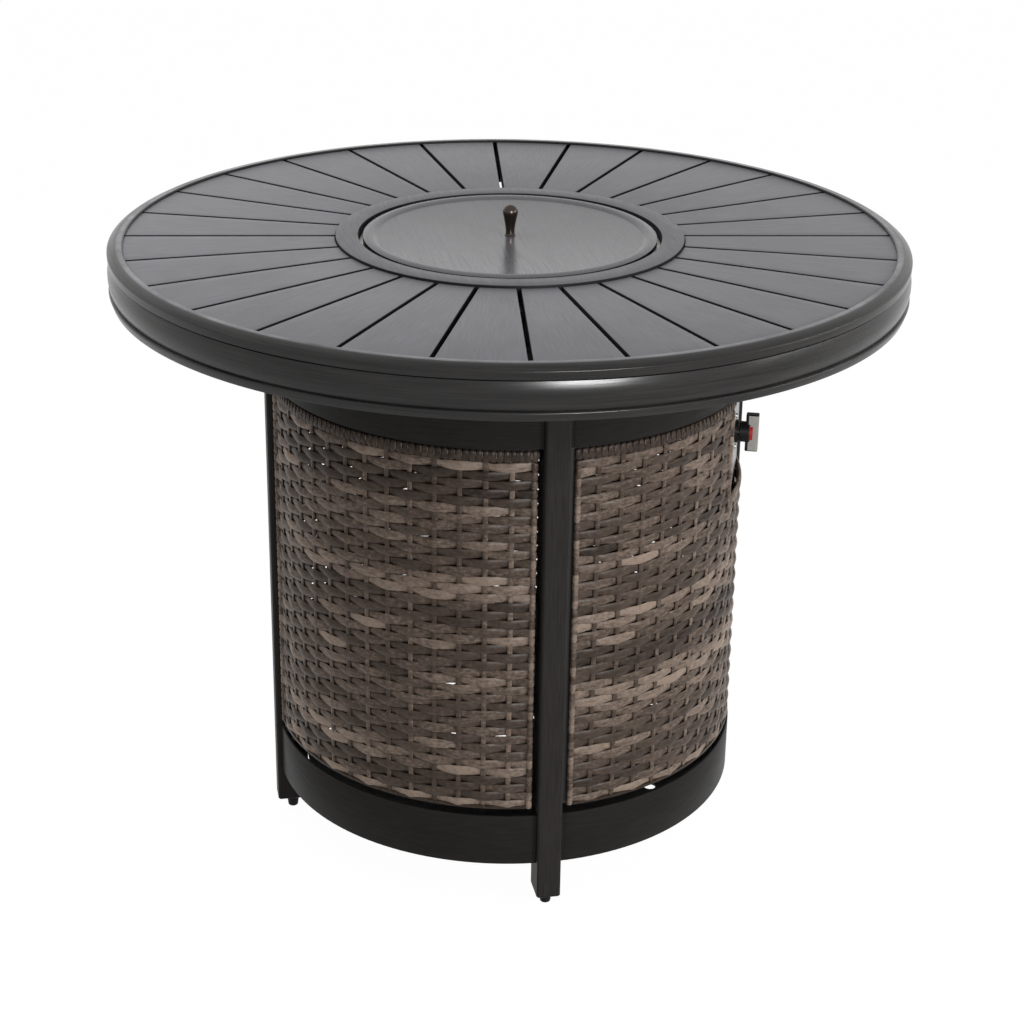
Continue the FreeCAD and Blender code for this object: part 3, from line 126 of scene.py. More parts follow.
def outline(bm, corners, closed=True):
    """Draw a wire of (radius, height) corners in mm in the XZ plane.

    A third number is the radius of the arc that leads to the corner; the arc turns left."""
    last = first = bm.verts.new(point(*corners[0]))
    for radius, height, *bend in corners[1:]:
        goal = point(radius, height)
        if not bend:
            vert = bm.verts.new(goal)
            bm.edges.new((last, vert))
            last = vert
            continue
        chord = goal - last.co
        half = chord.length / 2
        across = Vector((-chord.z, 0, chord.x)).normalized()
        bend_radius = bend[0] * MM
        centre = last.co + chord / 2 + across * math.sqrt(max(bend_radius ** 2 - half ** 2, 0))
        angle = 2 * math.asin(min(half / bend_radius, 1))
        steps = max(3, round(math.degrees(angle) / ARC_STEP))
        spun = bmesh.ops.spin(bm, geom=[last], cent=centre, axis=(0, -1, 0), dvec=CENTRE,
                              angle=angle, steps=steps, use_merge=False, use_duplicate=False)
        last = next(item for item in spun["geom_last"] if isinstance(item, bmesh.types.BMVert))
    if closed:
        bm.edges.new((last, first))


def turned(corners, steps=192, closed=True):
    """Spin an outline right round the Z axis."""
    bm = bmesh.new()
    outline(bm, corners, closed)
    bmesh.ops.spin(bm, geom=bm.verts[:] + bm.edges[:], cent=CENTRE, axis=UP, dvec=CENTRE,
                   angle=math.tau, steps=steps, use_merge=True, use_duplicate=False)
    bmesh.ops.remove_doubles(bm, verts=bm.verts, dist=0.01 * MM)
    bmesh.ops.recalc_face_normals(bm, faces=bm.faces)
    return bm


def soften(bm, width, segments=2, edges=None, limit=math.radians(40)):
    """Round off edges, by default the sharp ones."""
    chosen = edges or [edge for edge in bm.edges if edge.calc_face_angle(0) > limit]
    bmesh.ops.bevel(bm, geom=chosen, offset=width * MM, offset_type="OFFSET", affect="EDGES",
                    segments=segments, profile=0.5, material=-1, clamp_overlap=True)


def merge(bm, other):
    """Add another bmesh to this one."""
    mesh = bpy.data.meshes.new("merging")
    other.to_mesh(mesh)
    other.free()
    bm.from_mesh(mesh)
    bpy.data.meshes.remove(mesh)


def settle(name, bm, body, material, replaces=(), sharp=SHARP):
    """Make a finished bmesh a piece that rides on a body and stands for its CAD nodes."""
    for face in bm.faces:
        face.smooth = True
    for edge in bm.edges:
        edge.smooth = edge.calc_face_angle(0) < sharp
    mesh = bpy.data.meshes.new(name)
    bm.to_mesh(mesh)
    bm.free()
    mesh.materials.append(material)
    piece = bpy.data.objects.new(name, mesh)
    bpy.context.collection.objects.link(piece)
    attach(piece, body)
    if replaces:
        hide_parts(*replaces)
    return piece


# Materials

class Finish:
    """A material's nodes, added one at a time."""

    def __init__(self, name):
        self.material = bpy.data.materials.new(name)
        self.material.use_nodes = True
        self.tree = self.material.node_tree
        self.tree.nodes.clear()
        self.places = self.add("ShaderNodeTexCoord")

    def add(self, kind, inputs=None, **settings):
        made = self.tree.nodes.new(kind)
        for key, value in settings.items():
            setattr(made, key, value)
        for socket, value in (inputs or {}).items():
            self.fill(made.inputs[socket], value)
        return made

    def fill(self, socket, value):
        if isinstance(value, bpy.types.NodeSocket):
            self.tree.links.new(value, socket)
        else:
            socket.default_value = value

    def noise(self, scale, stretch=(1, 1, 1), detail=4, roughness=0.55, source="Object", turn=0.0):
        """Noise whose grain is stretched along an axis; scale is in cells a metre."""
        placed = self.add("ShaderNodeMapping", {"Vector": self.places.outputs[source], "Scale": stretch,
                                                "Rotation": (0, 0, turn)})
        made = self.add("ShaderNodeTexNoise", {"Vector": placed.outputs["Vector"], "Scale": scale,
                                               "Detail": detail, "Roughness": roughness})
        return made.outputs[0]

    def spread(self, value, low, high, to_low, to_high):
        made = self.add("ShaderNodeMapRange", {"Value": value, "From Min": low, "From Max": high,
                                               "To Min": to_low, "To Max": to_high})
        return made.outputs[0]

    def maths(self, operation, first, second=0.0):
        made = self.add("ShaderNodeMath", operation=operation)
        self.fill(made.inputs[0], first)
        self.fill(made.inputs[1], second)
        return made.outputs[0]

    def blend(self, factor, first, second, blend_type="MIX"):
        made = self.add("ShaderNodeMix", data_type="RGBA", blend_type=blend_type)
        for index, value in ((0, factor), (6, first), (7, second)):
            self.fill(made.inputs[index], value)
        return made.outputs[2]

    def grey(self, value):
        made = self.add("ShaderNodeCombineColor", {"Red": value, "Green": value, "Blue": value})
        return made.outputs[0]

    def bump(self, height, strength, distance, normal=None):
        inputs = {"Height": height, "Strength": strength, "Distance": distance * MM}
        if normal:
            inputs["Normal"] = normal
        return self.add("ShaderNodeBump", inputs).outputs[0]

    def attribute(self, name):
        return self.add("ShaderNodeAttribute", attribute_name=name).outputs["Fac"]

    def done(self, **inputs):
        """Close the tree with one Principled shader; underscores stand for spaces in its sockets' names."""
        shader = self.add("ShaderNodeBsdfPrincipled",
                          {key.replace("_", " "): value for key, value in inputs.items()})
        self.add("ShaderNodeOutputMaterial", {"Surface": shader.outputs[0]})
        return self.material


def tone(colour, factor):
    """A colour made lighter or darker."""
    return (*[min(channel * factor, 1) for channel in colour[:3]], 1)


SHADED_SIDES = 0.12         # share of the paint's colour on the upright sides of the top's pieces: painted shade on the slot walls and other upright faces
# upward shares of the normal over which the painted shade on upright faces gives way to the level finish
LEVEL_TOP = (0.35, 0.8)


def slate(name, colour, stretch, source="Object", turn=0.0, gloss=0.40, specular=0.35, contrast=0.35,
          sides=None):
    """Painted metal with fine streaks and a soft mottle.

    Sides gives faces that aren't level a colour and a specular level of their own; its darker colour is
    painted shade on upright faces. Its last two numbers are the upward shares of the normal at which the
    level finish starts and is full."""
    finish = Finish(name)
    colour = tuple(colour)
    if sides:
        # painted shade: faces that aren't level blend to the darker side colour and side specular by the
        # upward share of their normal
        side_colour, side_specular, start, full = sides
        normal = finish.add("ShaderNodeNewGeometry").outputs["Normal"]
        facing = finish.add("ShaderNodeSeparateXYZ", {0: normal})
        level = finish.spread(finish.maths("ABSOLUTE", facing.outputs["Z"]), start, full, 0, 1)
        colour = finish.blend(level, tuple(side_colour), colour)
        specular = finish.spread(level, 0, 1, side_specular, specular)
    streaks = finish.noise(1, stretch, detail=6, roughness=0.7, source=source, turn=turn)
    patches = finish.noise(16, detail=5, source="Object")
    shade = finish.spread(streaks, 0.3, 0.7, 1 - contrast, 1 + contrast)
    soft = finish.spread(patches, 0.3, 0.7, 0.93, 1.07)
    both = finish.maths("MULTIPLY", shade, soft)
    painted = finish.blend(1.0, colour, finish.grey(both), "MULTIPLY")
    rough = finish.spread(streaks, 0.3, 0.7, gloss + 0.08, gloss - 0.06)
    grain = finish.bump(streaks, 0.35, 0.12)
    pebble = finish.bump(finish.noise(420, detail=2), 0.10, 0.1, grain)
    return finish.done(Base_Color=painted, Roughness=rough, Normal=pebble, Specular_IOR_Level=specular)


def plain(name, colour, metallic=0.0, rough=0.45, grain=60, stretch=(1, 1, 1), contrast=0.15,
          relief=0.03, specular=0.5, coat=0.0):
    """A finish with a soft variation in colour, gloss and height."""
    finish = Finish(name)
    cells = finish.noise(grain, stretch, detail=5)
    fine = finish.noise(grain * 6, stretch, detail=3)
    mixed = finish.maths("ADD", finish.maths("MULTIPLY", cells, 0.6), finish.maths("MULTIPLY", fine, 0.4))
    factor = finish.spread(mixed, 0.3, 0.7, 0.0, 1.0)
    base = finish.blend(factor, tone(colour, 1 - contrast), tone(colour, 1 + contrast))
    gloss = finish.spread(mixed, 0.3, 0.7, rough + 0.06, rough - 0.04)
    return finish.done(Base_Color=base, Metallic=metallic, Roughness=gloss, Specular_IOR_Level=specular,
                       Coat_Weight=coat, Normal=finish.bump(mixed, 0.5, relief))


def resin(name):
    """Woven resin: each strand has its own tone, with fine lines along it."""
    finish = Finish(name)
    shade, upright = finish.attribute("shade"), finish.attribute("upright")
    level = finish.noise(1, (70, 70, 1400), detail=3)
    standing = finish.noise(1, (1400, 1400, 70), detail=3)
    lines = finish.add("ShaderNodeMix", {0: upright, 2: level, 3: standing}, data_type="FLOAT").outputs[0]
    mottle = finish.noise(170, (1, 1, 1.6), detail=5, roughness=0.7)
    wander = finish.spread(mottle, 0.3, 0.7, -0.24, 0.24)
    fine = finish.spread(lines, 0.3, 0.7, -0.10, 0.10)
    total = finish.maths("ADD", finish.maths("ADD", shade, wander), fine)
    ramp = finish.add("ShaderNodeValToRGB", {"Fac": total})
    stops = ramp.color_ramp.elements
    stops[0].position, stops[0].color = 0.0, colours().resin_dark
    stops[1].position, stops[1].color = 1.0, colours().resin_light
    ends = zip(colours().resin_dark, colours().resin_light)
    stops.new(0.5).color = [math.sqrt(dark * light) for dark, light in ends]
    rough = finish.spread(lines, 0.3, 0.7, 0.46, 0.34)
    relief = finish.bump(lines, 0.6, 0.10)
    return finish.done(Base_Color=ramp.outputs[0], Roughness=rough, Normal=relief, Specular_IOR_Level=0.14)


def paint(node, material):
    """Give a CAD node a finish."""
    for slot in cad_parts[node].material_slots:
        slot.material = material


# Stage

CAMERA_AZIMUTH = -11.12
CAMERA_DISTANCE, CAMERA_HEIGHT = 2.4715, 1.4423
CAMERA_PITCH, CAMERA_YAW, CAMERA_ROLL = 0.4060, -0.0028, -0.0149
CAMERA_LENS = 78.27


def photo_camera():
    """The camera that sees the table as the photograph does."""
    data = bpy.data.cameras.new("photo_camera")
    data.lens = CAMERA_LENS
    data.sensor_width = 36
    camera = bpy.data.objects.new("photo_camera", data)
    bpy.context.collection.objects.link(camera)
    ahead = Vector((0, math.cos(CAMERA_PITCH), -math.sin(CAMERA_PITCH)))
    down = Vector((0, -math.sin(CAMERA_PITCH), -math.cos(CAMERA_PITCH)))
    right = Vector((1, 0, 0))
    across = right * math.cos(CAMERA_ROLL) + down * math.sin(CAMERA_ROLL)
    below = down * math.cos(CAMERA_ROLL) - right * math.sin(CAMERA_ROLL)
    look = Matrix((across, -below, -ahead)).transposed().to_4x4()
    stand = Matrix.Translation((0, -CAMERA_DISTANCE, CAMERA_HEIGHT))
    place = stand @ Matrix.Rotation(CAMERA_YAW, 4, "Z") @ look
    camera.matrix_world = Matrix.Rotation(math.radians(CAMERA_AZIMUTH), 4, "Z") @ place
    bpy.context.scene.camera = camera


def lamp(name, azimuth, elevation, distance, size, power, card=False):
    """A soft rectangular lamp that faces the table and casts no glare; a card shows in reflections only."""
    data = bpy.data.lights.new(name, "AREA")
    data.shape = "RECTANGLE"
    data.size, data.size_y = size
    data.energy = power
    a, e = math.radians(azimuth), math.radians(elevation)
    back = Vector((math.sin(a) * math.cos(e), -math.cos(a) * math.cos(e), math.sin(e)))
    holder = bpy.data.objects.new(name, data)
    bpy.context.collection.objects.link(holder)
    holder.location = Vector((0, 0, 0.45)) + back * distance
    holder.rotation_euler = back.to_track_quat("Z", "Y").to_euler()
    holder.visible_diffuse = not card
    holder.visible_glossy = card


def seen_rays(tree):
    """A socket that is 1 for camera, glossy and transmission rays."""
    path = tree.nodes.new("ShaderNodeLightPath")
    total = None
    for ray in ("Is Camera Ray", "Is Glossy Ray", "Is Transmission Ray"):
        if total is None:
            total = path.outputs[ray]
            continue
        step = tree.nodes.new("ShaderNodeMath")
        step.operation = "MAXIMUM"
        tree.links.new(total, step.inputs[0])
        tree.links.new(path.outputs[ray], step.inputs[1])
        total = step.outputs[0]
    return total


WORLD_LIGHT = 0.33
FLOOR_GLOW = 0.95
FLOOR_WHITE = 1.03
UNDER_TABLE = 0.14          # radius of the floor that stays in the drum's own shade


class FIRETABLE_OT_stage(bpy.types.Operator):
    """Make the pale floor, the white surroundings, the soft lamps and the camera"""

    bl_idname = "fire_table.stage"
    bl_label = "Stage"

    def execute(self, context):
        bm = bmesh.new()
        bmesh.ops.create_circle(bm, cap_ends=True, radius=14, segments=64)
        mesh = bpy.data.meshes.new("studio_floor")
        bm.to_mesh(mesh)
        bm.free()
        floor = bpy.data.objects.new("studio_floor", mesh)
        context.collection.objects.link(floor)
        finish = Finish("studio_floor")
        tiles = finish.spread(finish.noise(3), 0.3, 0.7, 0.985, 1.0)
        shade = finish.blend(1.0, tuple(colours().floor), finish.grey(tiles), "MULTIPLY")
        matt = finish.add("ShaderNodeBsdfDiffuse", {"Color": shade})
        glow = finish.add("ShaderNodeEmission", {"Color": (1, 1, 1, 1), "Strength": FLOOR_WHITE})
        apart = finish.add("ShaderNodeVectorMath", {0: finish.places.outputs["Object"]}, operation="LENGTH")
        open_floor = finish.spread(apart.outputs["Value"], UNDER_TABLE / 2, UNDER_TABLE, 0, FLOOR_GLOW)
        share = finish.maths("MULTIPLY", seen_rays(finish.tree), open_floor)
        both = finish.add("ShaderNodeMixShader", {0: share, 1: matt.outputs[0], 2: glow.outputs[0]})
        finish.add("ShaderNodeOutputMaterial", {"Surface": both.outputs[0]})
        mesh.materials.append(finish.material)

        world = bpy.data.worlds.new("studio")
        world.use_nodes = True
        context.scene.world = world
        tree = world.node_tree
        background = tree.nodes["Background"]
        background.inputs["Color"].default_value = (1, 1, 1, 1)
        strength = tree.nodes.new("ShaderNodeMapRange")
        tree.links.new(seen_rays(tree), strength.inputs["Value"])
        strength.inputs["To Min"].default_value = WORLD_LIGHT
        strength.inputs["To Max"].default_value = 1.0
        tree.links.new(strength.outputs[0], background.inputs["Strength"])

        lamp("key_lamp", 38, 20, 2.6, (1.1, 1.3), 32)
        lamp("over_lamp", -104, 50, 1.4, (1.1, 1.1), 7)
        lamp("front_card", 8, 18, 2.6, (0.7, 0.22), 55, card=True)
        lamp("right_card", 70, 16, 2.6, (1.5, 0.25), 14, card=True)
        photo_camera()
        context.scene.view_settings.view_transform = "Standard"
        return {"FINISHED"}


# The slatted top

SLAT_TOP = 725
RIM = [(439, 725), (449, 725), (450, 716), (451, 673.5), (442, 673.5), (442, 670.5), (454, 670.5),
       (456.7, 678.5), (455.1, 680.1, 1.6), (453.8, 680.5), (454.2, 681.5), (454.2, 711.6, 39.3),
       (452.6, 712.2), (452.6, 713.2), (456.2, 713.8), (456.6, 721.6), (456.07, 722.79, 1.6),
       (446.2, 728, 22), (440.2, 728), (439, 726.8)]
HUB_RING = [(197.5, 709), (200, 709), (200, 726.6), (199.6, 727.6), (198.6, 728), (175.4, 728),
            (174.4, 727.6), (174, 726.6), (174, 716), (160.5, 716), (160.5, 713.5), (176.5, 713.5),
            (176.5, 725.5), (197.5, 725.5)]
SLAT_START, SLAT_END, SLAT_DEPTH, SLAT_GAUGE = 200.3, 446, 16, 2
TOP_TURN = -1.8
RIM_STEPS = 256


def make_slat():
    """One folded slat on the X axis."""
    bm = bmesh.new()
    share = 360 / sizes().slat_count
    near = bm.verts.new(point(SLAT_START, SLAT_TOP, -share / 2))
    far = bm.verts.new(point(SLAT_END, SLAT_TOP, -share / 2))
    edge = bm.edges.new((near, far))
    bmesh.ops.spin(bm, geom=[near, far, edge], cent=CENTRE, axis=UP, dvec=CENTRE,
                   angle=math.radians(share), steps=6, use_merge=False, use_duplicate=False)
    for side in (-1, 1):
        a = math.radians(side * share / 2)
        outwards = Vector((-math.sin(a), math.cos(a), 0)) * side
        bmesh.ops.bisect_plane(bm, geom=bm.verts[:] + bm.edges[:] + bm.faces[:], dist=1e-7, clear_outer=True,
                               plane_co=-outwards * sizes().slot_width / 2, plane_no=outwards)
    rim = [item for item in bm.edges if item.is_boundary]
    pulled = bmesh.ops.extrude_edge_only(bm, edges=rim)["geom"]
    lower = [item for item in pulled if isinstance(item, bmesh.types.BMVert)]
    bmesh.ops.translate(bm, verts=lower, vec=(0, 0, -SLAT_DEPTH * MM))
    bmesh.ops.recalc_face_normals(bm, faces=bm.faces)
    if max(bm.faces, key=lambda face: abs(face.normal.z)).normal.z < 0:
        bmesh.ops.reverse_faces(bm, faces=bm.faces)
    folds = [item for item in bm.edges if item.calc_face_angle(0) > math.radians(40)]
    soften(bm, 1.0, 3, folds)
    bmesh.ops.solidify(bm, geom=bm.faces[:], thickness=SLAT_GAUGE * MM)
    bmesh.ops.recalc_face_normals(bm, faces=bm.faces)
    return bm


class FIRETABLE_OT_top(bpy.types.Operator):
    """Make the moulded rim, the folded slats and the raised ring round the burner"""

    bl_idname = "fire_table.top"
    bl_label = "Slatted top"

    def execute(self, context):
        # sides is the top colour darkened for painted shade on the upright faces of slats and ring
        top, sides = colours().slate_top, tone(colours().slate_top, SHADED_SIDES)
        # painted light and shade: the rim's level faces take the lighter top colour and its upright faces the
        # darker frame colour
        rim_paint = slate("slate_rim", top, (9, 9, 420), gloss=0.24, contrast=0.8,
                          sides=(tone(colours().slate, 0.8), 0.28, 0.977, 0.995))
        settle("table_rim", turned(RIM, RIM_STEPS), "table", rim_paint, ["top_rim"])

        # painted shade on the slats' walls and slot sides through the sides colour
        top_paint = slate("slate_slats", top, (1100, 22, 1), source="UV", contrast=0.16,
                          sides=(sides, 0.04, *LEVEL_TOP))
        bm = bmesh.new()
        share = 360 / sizes().slat_count
        for index in range(sizes().slat_count):
            slat = make_slat()
            layer = slat.loops.layers.uv.new("along")
            for face in slat.faces:
                for loop in face.loops:
                    place = loop.vert.co
                    loop[layer].uv = (place.y + place.z + 0.37 * index, place.x + 0.11 * index)
            angle = math.radians(TOP_TURN + index * share)
            bmesh.ops.rotate(slat, verts=slat.verts, cent=CENTRE, matrix=Matrix.Rotation(angle, 3, "Z"))
            merge(bm, slat)
        settle("table_slats", bm, "table", top_paint, ["top_slats"])

        # painted shade on the ring's upright sides, as on the slats
        ring_paint = slate("slate_ring", tone(top, 0.66), (500, 30, 400), turn=math.radians(14),
                           contrast=0.10, sides=(sides, 0.04, *LEVEL_TOP))
        settle("fire_ring", turned(HUB_RING), "table", ring_paint, ["hub_ring"])
        return {"FINISHED"}


# The lid and its knob

LID = [(2.6, 723.5), (153, 723.5), (155.5, 725.6), (165.5, 725.6), (166.5, 724.6), (166.5, 717.5),
       (168.5, 717.5), (168.5, 726.6), (153.2, 726.2, 14), (152.4, 725.6), (151.8, 725.5), (2.6, 725.5)]
LID_KNOB = [(2.55, 725.5), (5.9, 725.5), (6.1, 726.3), (5.8, 727), (5.2, 727.7), (5.1, 732.5), (6.0, 739),
            (8.25, 750.2), (8.6, 752.9, 8.6), (0, 761.5, 8.6)]


class FIRETABLE_OT_lid(bpy.types.Operator):
    """Make the spun burner lid and its small knob"""

    bl_idname = "fire_table.lid"
    bl_label = "Burner lid"

    def execute(self, context):
        # painted shade: the lid's upright faces take a much darker copy of the top colour
        sides = tone(colours().slate_top, SHADED_SIDES)
        lid_paint = slate("slate_lid", tone(colours().slate_top, 0.64), (420, 16, 400), turn=math.radians(12),
                          contrast=0.10, gloss=0.24, specular=0.42, sides=(sides, 0.04, *LEVEL_TOP))
        settle("fire_lid", turned(LID), "lid", lid_paint, ["burner_lid"])
        bronze = plain("bronze_knob", (0.055, 0.042, 0.036, 1), metallic=0.85, rough=0.22, grain=220,
                       contrast=0.25, relief=0.02)
        settle("lid_grip", turned(LID_KNOB, 48, closed=False), "lid", bronze, ["lid_knob"])
        return {"FINISHED"}


# The drum's curved plates

PLATE_IN, PLATE_OUT = 277, 280
FLANGE_IN, FLANGE_OUT = 257, 279.4
FLANGE_NEAR, FLANGE_FAR = 14.05, 17.95
PANEL_CENTRES = {"back_right": 45, "back_left": 135, "front_left": -135, "front_right": -45}


def make_plate(centre, low, high):
    """A curved plate with a flange at each end, in one mesh."""
    bm = bmesh.new()
    reach = 45 - math.degrees(math.asin(FLANGE_FAR / PLATE_OUT))
    corners = [(PLATE_IN, low), (PLATE_OUT, low), (PLATE_OUT, high), (PLATE_IN, high)]
    face = bm.faces.new([bm.verts.new(point(*corner, centre - reach)) for corner in corners])
    bmesh.ops.spin(bm, geom=[face], cent=CENTRE, axis=UP, dvec=CENTRE, angle=math.radians(2 * reach),
                   steps=36, use_merge=False, use_duplicate=False)
    bmesh.ops.recalc_face_normals(bm, faces=bm.faces)
    soften(bm, 0.7)
    for side in (-1, 1):
        flange = bmesh.new()
        bmesh.ops.create_cube(flange, size=MM)
        bmesh.ops.scale(flange, verts=flange.verts, vec=(
            FLANGE_OUT - FLANGE_IN, FLANGE_FAR - FLANGE_NEAR, high - low))
        bmesh.ops.translate(flange, verts=flange.verts, vec=Vector((
            (FLANGE_OUT + FLANGE_IN) / 2, -side * (FLANGE_FAR + FLANGE_NEAR) / 2, (low + high) / 2)) * MM)
        bmesh.ops.rotate(flange, verts=flange.verts, cent=CENTRE,
                         matrix=Matrix.Rotation(math.radians(centre + side * 45), 3, "Z"))
        soften(flange, 0.6)
        merge(bm, flange)
    return bm


class FIRETABLE_OT_drum(bpy.types.Operator):
    """Make the curved plates above and below the panels, and paint the legs"""

    bl_idname = "fire_table.drum"
    bl_label = "Drum"

    def execute(self, context):
        # plates and legs take the frame's darker slate copy: painted shade on the drum's upright faces
        plate_paint = slate("slate_plates", colours().slate, (26, 26, 1300), specular=0.04, contrast=0.4)
        for name, node in (("upper_plates", "apron_plates"), ("lower_plates", "skirt_plates")):
            low, high = (corner.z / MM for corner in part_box(node))
            bm = bmesh.new()
            for centre in PANEL_CENTRES.values():
                merge(bm, make_plate(centre, low, high))
            settle(name, bm, "table", plate_paint, [node])
        leg_paint = slate("slate_legs", tone(colours().slate, 1.6), (1300, 1300, 24), gloss=0.42,
                          specular=0.03)
        for side in ("front", "right", "back", "left"):
            paint(f"leg_{side}", leg_paint)
        return {"FINISHED"}


# The woven panels

PANEL_LOW, PANEL_HIGH = 131.5, 569.5
PANEL_MARGIN = 20.2
BORDER_HEIGHT, BORDER_DEPTH = 14, 5.4
WRAP_PITCH, WRAP_THICKNESS = 7.4, 1.5
ROD_WIDTH, FOOT_ROD = 7, 4
STAKE_WIDTH, STAKE_THICKNESS, STAKE_INSET = 5.8, 1.3, 24
STRAND_WIDTH, STRAND_SWELL, STRAND_TAPER, STRAND_LIFT = 1.05, 0.06, 0.12, 0.04
STRAND_BOW = 0.9            # mm that a strand's edges lie behind its middle
STEPS_PER_STAKE = 10
SQUARENESS = 0.45           # how far a strand's section fills out from an ellipse to a rectangle
FLOAT_FLATNESS = 0.93       # 0 lets a strand swing as a sine wave, 1 as straight runs
CONTROL_ANGLE = -20
NOTCH_SIDE, NOTCH_LOW = 65.5, 448
GLINT_TICK_WIDTH, GLINT_TICK_HEIGHT = 1.3, 7        # thin light strips in the upper half of a panel's top border: painted highlights on the wraps' tops


def oval(bm, across, tall, sides=8):
    """A flat ring of verts with rounded ends, in the XZ plane round the origin."""
    made = bmesh.ops.create_circle(bm, cap_ends=False, radius=0.5, segments=sides)["verts"]
    bmesh.ops.rotate(bm, verts=made, cent=CENTRE, matrix=Matrix.Rotation(math.pi / 2, 3, "X"))
    for vert in made:
        squareness = 1 + SQUARENESS * abs(vert.co.x * vert.co.z) * 4
        vert.co *= squareness
    bmesh.ops.scale(bm, verts=made, vec=(across * MM, 1, tall * MM))
    return made


def tag(bm, faces, shade, upright):
    """Note a strand's tone, and whether its fibres stand upright."""
    tones = bm.faces.layers.float.get("shade") or bm.faces.layers.float.new("shade")
    ways = bm.faces.layers.float.get("upright") or bm.faces.layers.float.new("upright")
    for face in faces:
        face[tones] = shade
        face[ways] = upright


def bent_strand(radius, height, start, end, steps, tall, thick):
    """A flat strand along an arc round the drum, still even along its length."""
    bm = bmesh.new()
    ring = oval(bm, thick, tall)
    bmesh.ops.translate(bm, verts=ring, vec=(radius * MM, 0, height * MM))
    bmesh.ops.rotate(bm, verts=ring, cent=CENTRE, matrix=Matrix.Rotation(math.radians(start), 3, "Z"))
    first = bm.edges[:]
    spun = bmesh.ops.spin(bm, geom=ring + first, cent=CENTRE, axis=UP, dvec=CENTRE,
                          angle=math.radians(end - start), steps=steps, use_merge=False, use_duplicate=False)
    last = [item for item in spun["geom_last"] if isinstance(item, bmesh.types.BMEdge)]
    bmesh.ops.contextual_create(bm, geom=first)
    bmesh.ops.contextual_create(bm, geom=last)
    bmesh.ops.recalc_face_normals(bm, faces=bm.faces)
    return bm


def weave_strand(row, height, start, end, layout, dice, wave):
    """One strand that passes in front of every other stake; each float is narrow where it comes out."""
    depth, thick = sizes().weave_depth / MM, sizes().strand_thickness / MM
    radius = sizes().weave_radius / MM
    pitch = layout["row_pitch"]
    steps = round((end - start) / layout["stake_angle"] * STEPS_PER_STAKE)
    bm = bent_strand(radius, height, start, end, steps, pitch, thick)
    depth *= dice.uniform(0.94, 1.04)
    fullness = dice.uniform(0.98, 1.04)
    lean = dice.uniform(-0.10, 0.10)
    phase = dice.uniform(0, math.tau)
    for vert in bm.verts:
        angle = math.degrees(math.atan2(vert.co.y, vert.co.x))
        angle += 360 * round(((start + end) / 2 - angle) / 360)
        place = (angle - layout["first_stake"]) / layout["stake_angle"]
        turn = math.pi * (place - row % 2)
        swing = math.cos(turn)
        lag = math.sin(turn) - math.sin(2 * turn) / 2 + math.sin(3 * turn) / 3
        out = depth * math.asin(FLOAT_FLATNESS * swing) / math.asin(FLOAT_FLATNESS)
        width = STRAND_WIDTH + STRAND_SWELL * swing + STRAND_TAPER * min(lag, 0)
        width *= fullness + 0.02 * math.sin(3.1 * place + phase)
        above = vert.co.z / MM - height
        drift = 0.35 * math.sin(place * 0.9 + wave + 0.35 * row) + 0.2 * math.sin(place * 2.3 + phase)
        bow = STRAND_BOW * (2 * above / pitch) ** 2
        new_radius = math.hypot(vert.co.x, vert.co.y) / MM + out + lean * above * 0.5 - bow
        vert.co = point(new_radius, height + above * width + drift + STRAND_LIFT * pitch * lag, angle)
    return bm


def stake(angle, low, high, width=STAKE_WIDTH, out=0.0):
    """A flat upright strip, such as the ones that the strands pass round."""
    bm = bmesh.new()
    ring = oval(bm, STAKE_THICKNESS, width)
    bmesh.ops.rotate(bm, verts=ring, cent=CENTRE, matrix=Matrix.Rotation(math.pi / 2, 3, "X"))
    bmesh.ops.translate(bm, verts=ring, vec=(sizes().weave_radius + out * MM, 0, low * MM))
    face = bmesh.ops.contextual_create(bm, geom=bm.edges[:])["faces"][0]
    bmesh.ops.solidify(bm, geom=[face], thickness=(high - low) * MM)
    top = [vert for vert in bm.verts if vert.co.z > low * MM + 1e-5]
    if not top:
        bmesh.ops.translate(bm, verts=bm.verts, vec=(0, 0, (high - low) * MM))
    bmesh.ops.rotate(bm, verts=bm.verts, cent=CENTRE, matrix=Matrix.Rotation(math.radians(angle), 3, "Z"))
    bmesh.ops.recalc_face_normals(bm, faces=bm.faces)
    return bm


def side_wrap(angle, height, tall):
    """A strand's turn round the upright rod at a panel's edge."""
    bm = bmesh.new()
    ring = oval(bm, WRAP_THICKNESS, tall, 6)
    bmesh.ops.translate(bm, verts=ring, vec=((ROD_WIDTH - WRAP_THICKNESS) / 2 * MM, 0, 0))
    bmesh.ops.spin(bm, geom=ring + bm.edges[:], cent=CENTRE, axis=UP, dvec=CENTRE, angle=math.tau, steps=12,
                   use_merge=True, use_duplicate=False)
    bmesh.ops.translate(bm, verts=bm.verts, vec=(sizes().weave_radius, 0, height * MM))
    bmesh.ops.rotate(bm, verts=bm.verts, cent=CENTRE, matrix=Matrix.Rotation(math.radians(angle), 3, "Z"))
    bmesh.ops.recalc_face_normals(bm, faces=bm.faces)
    return bm


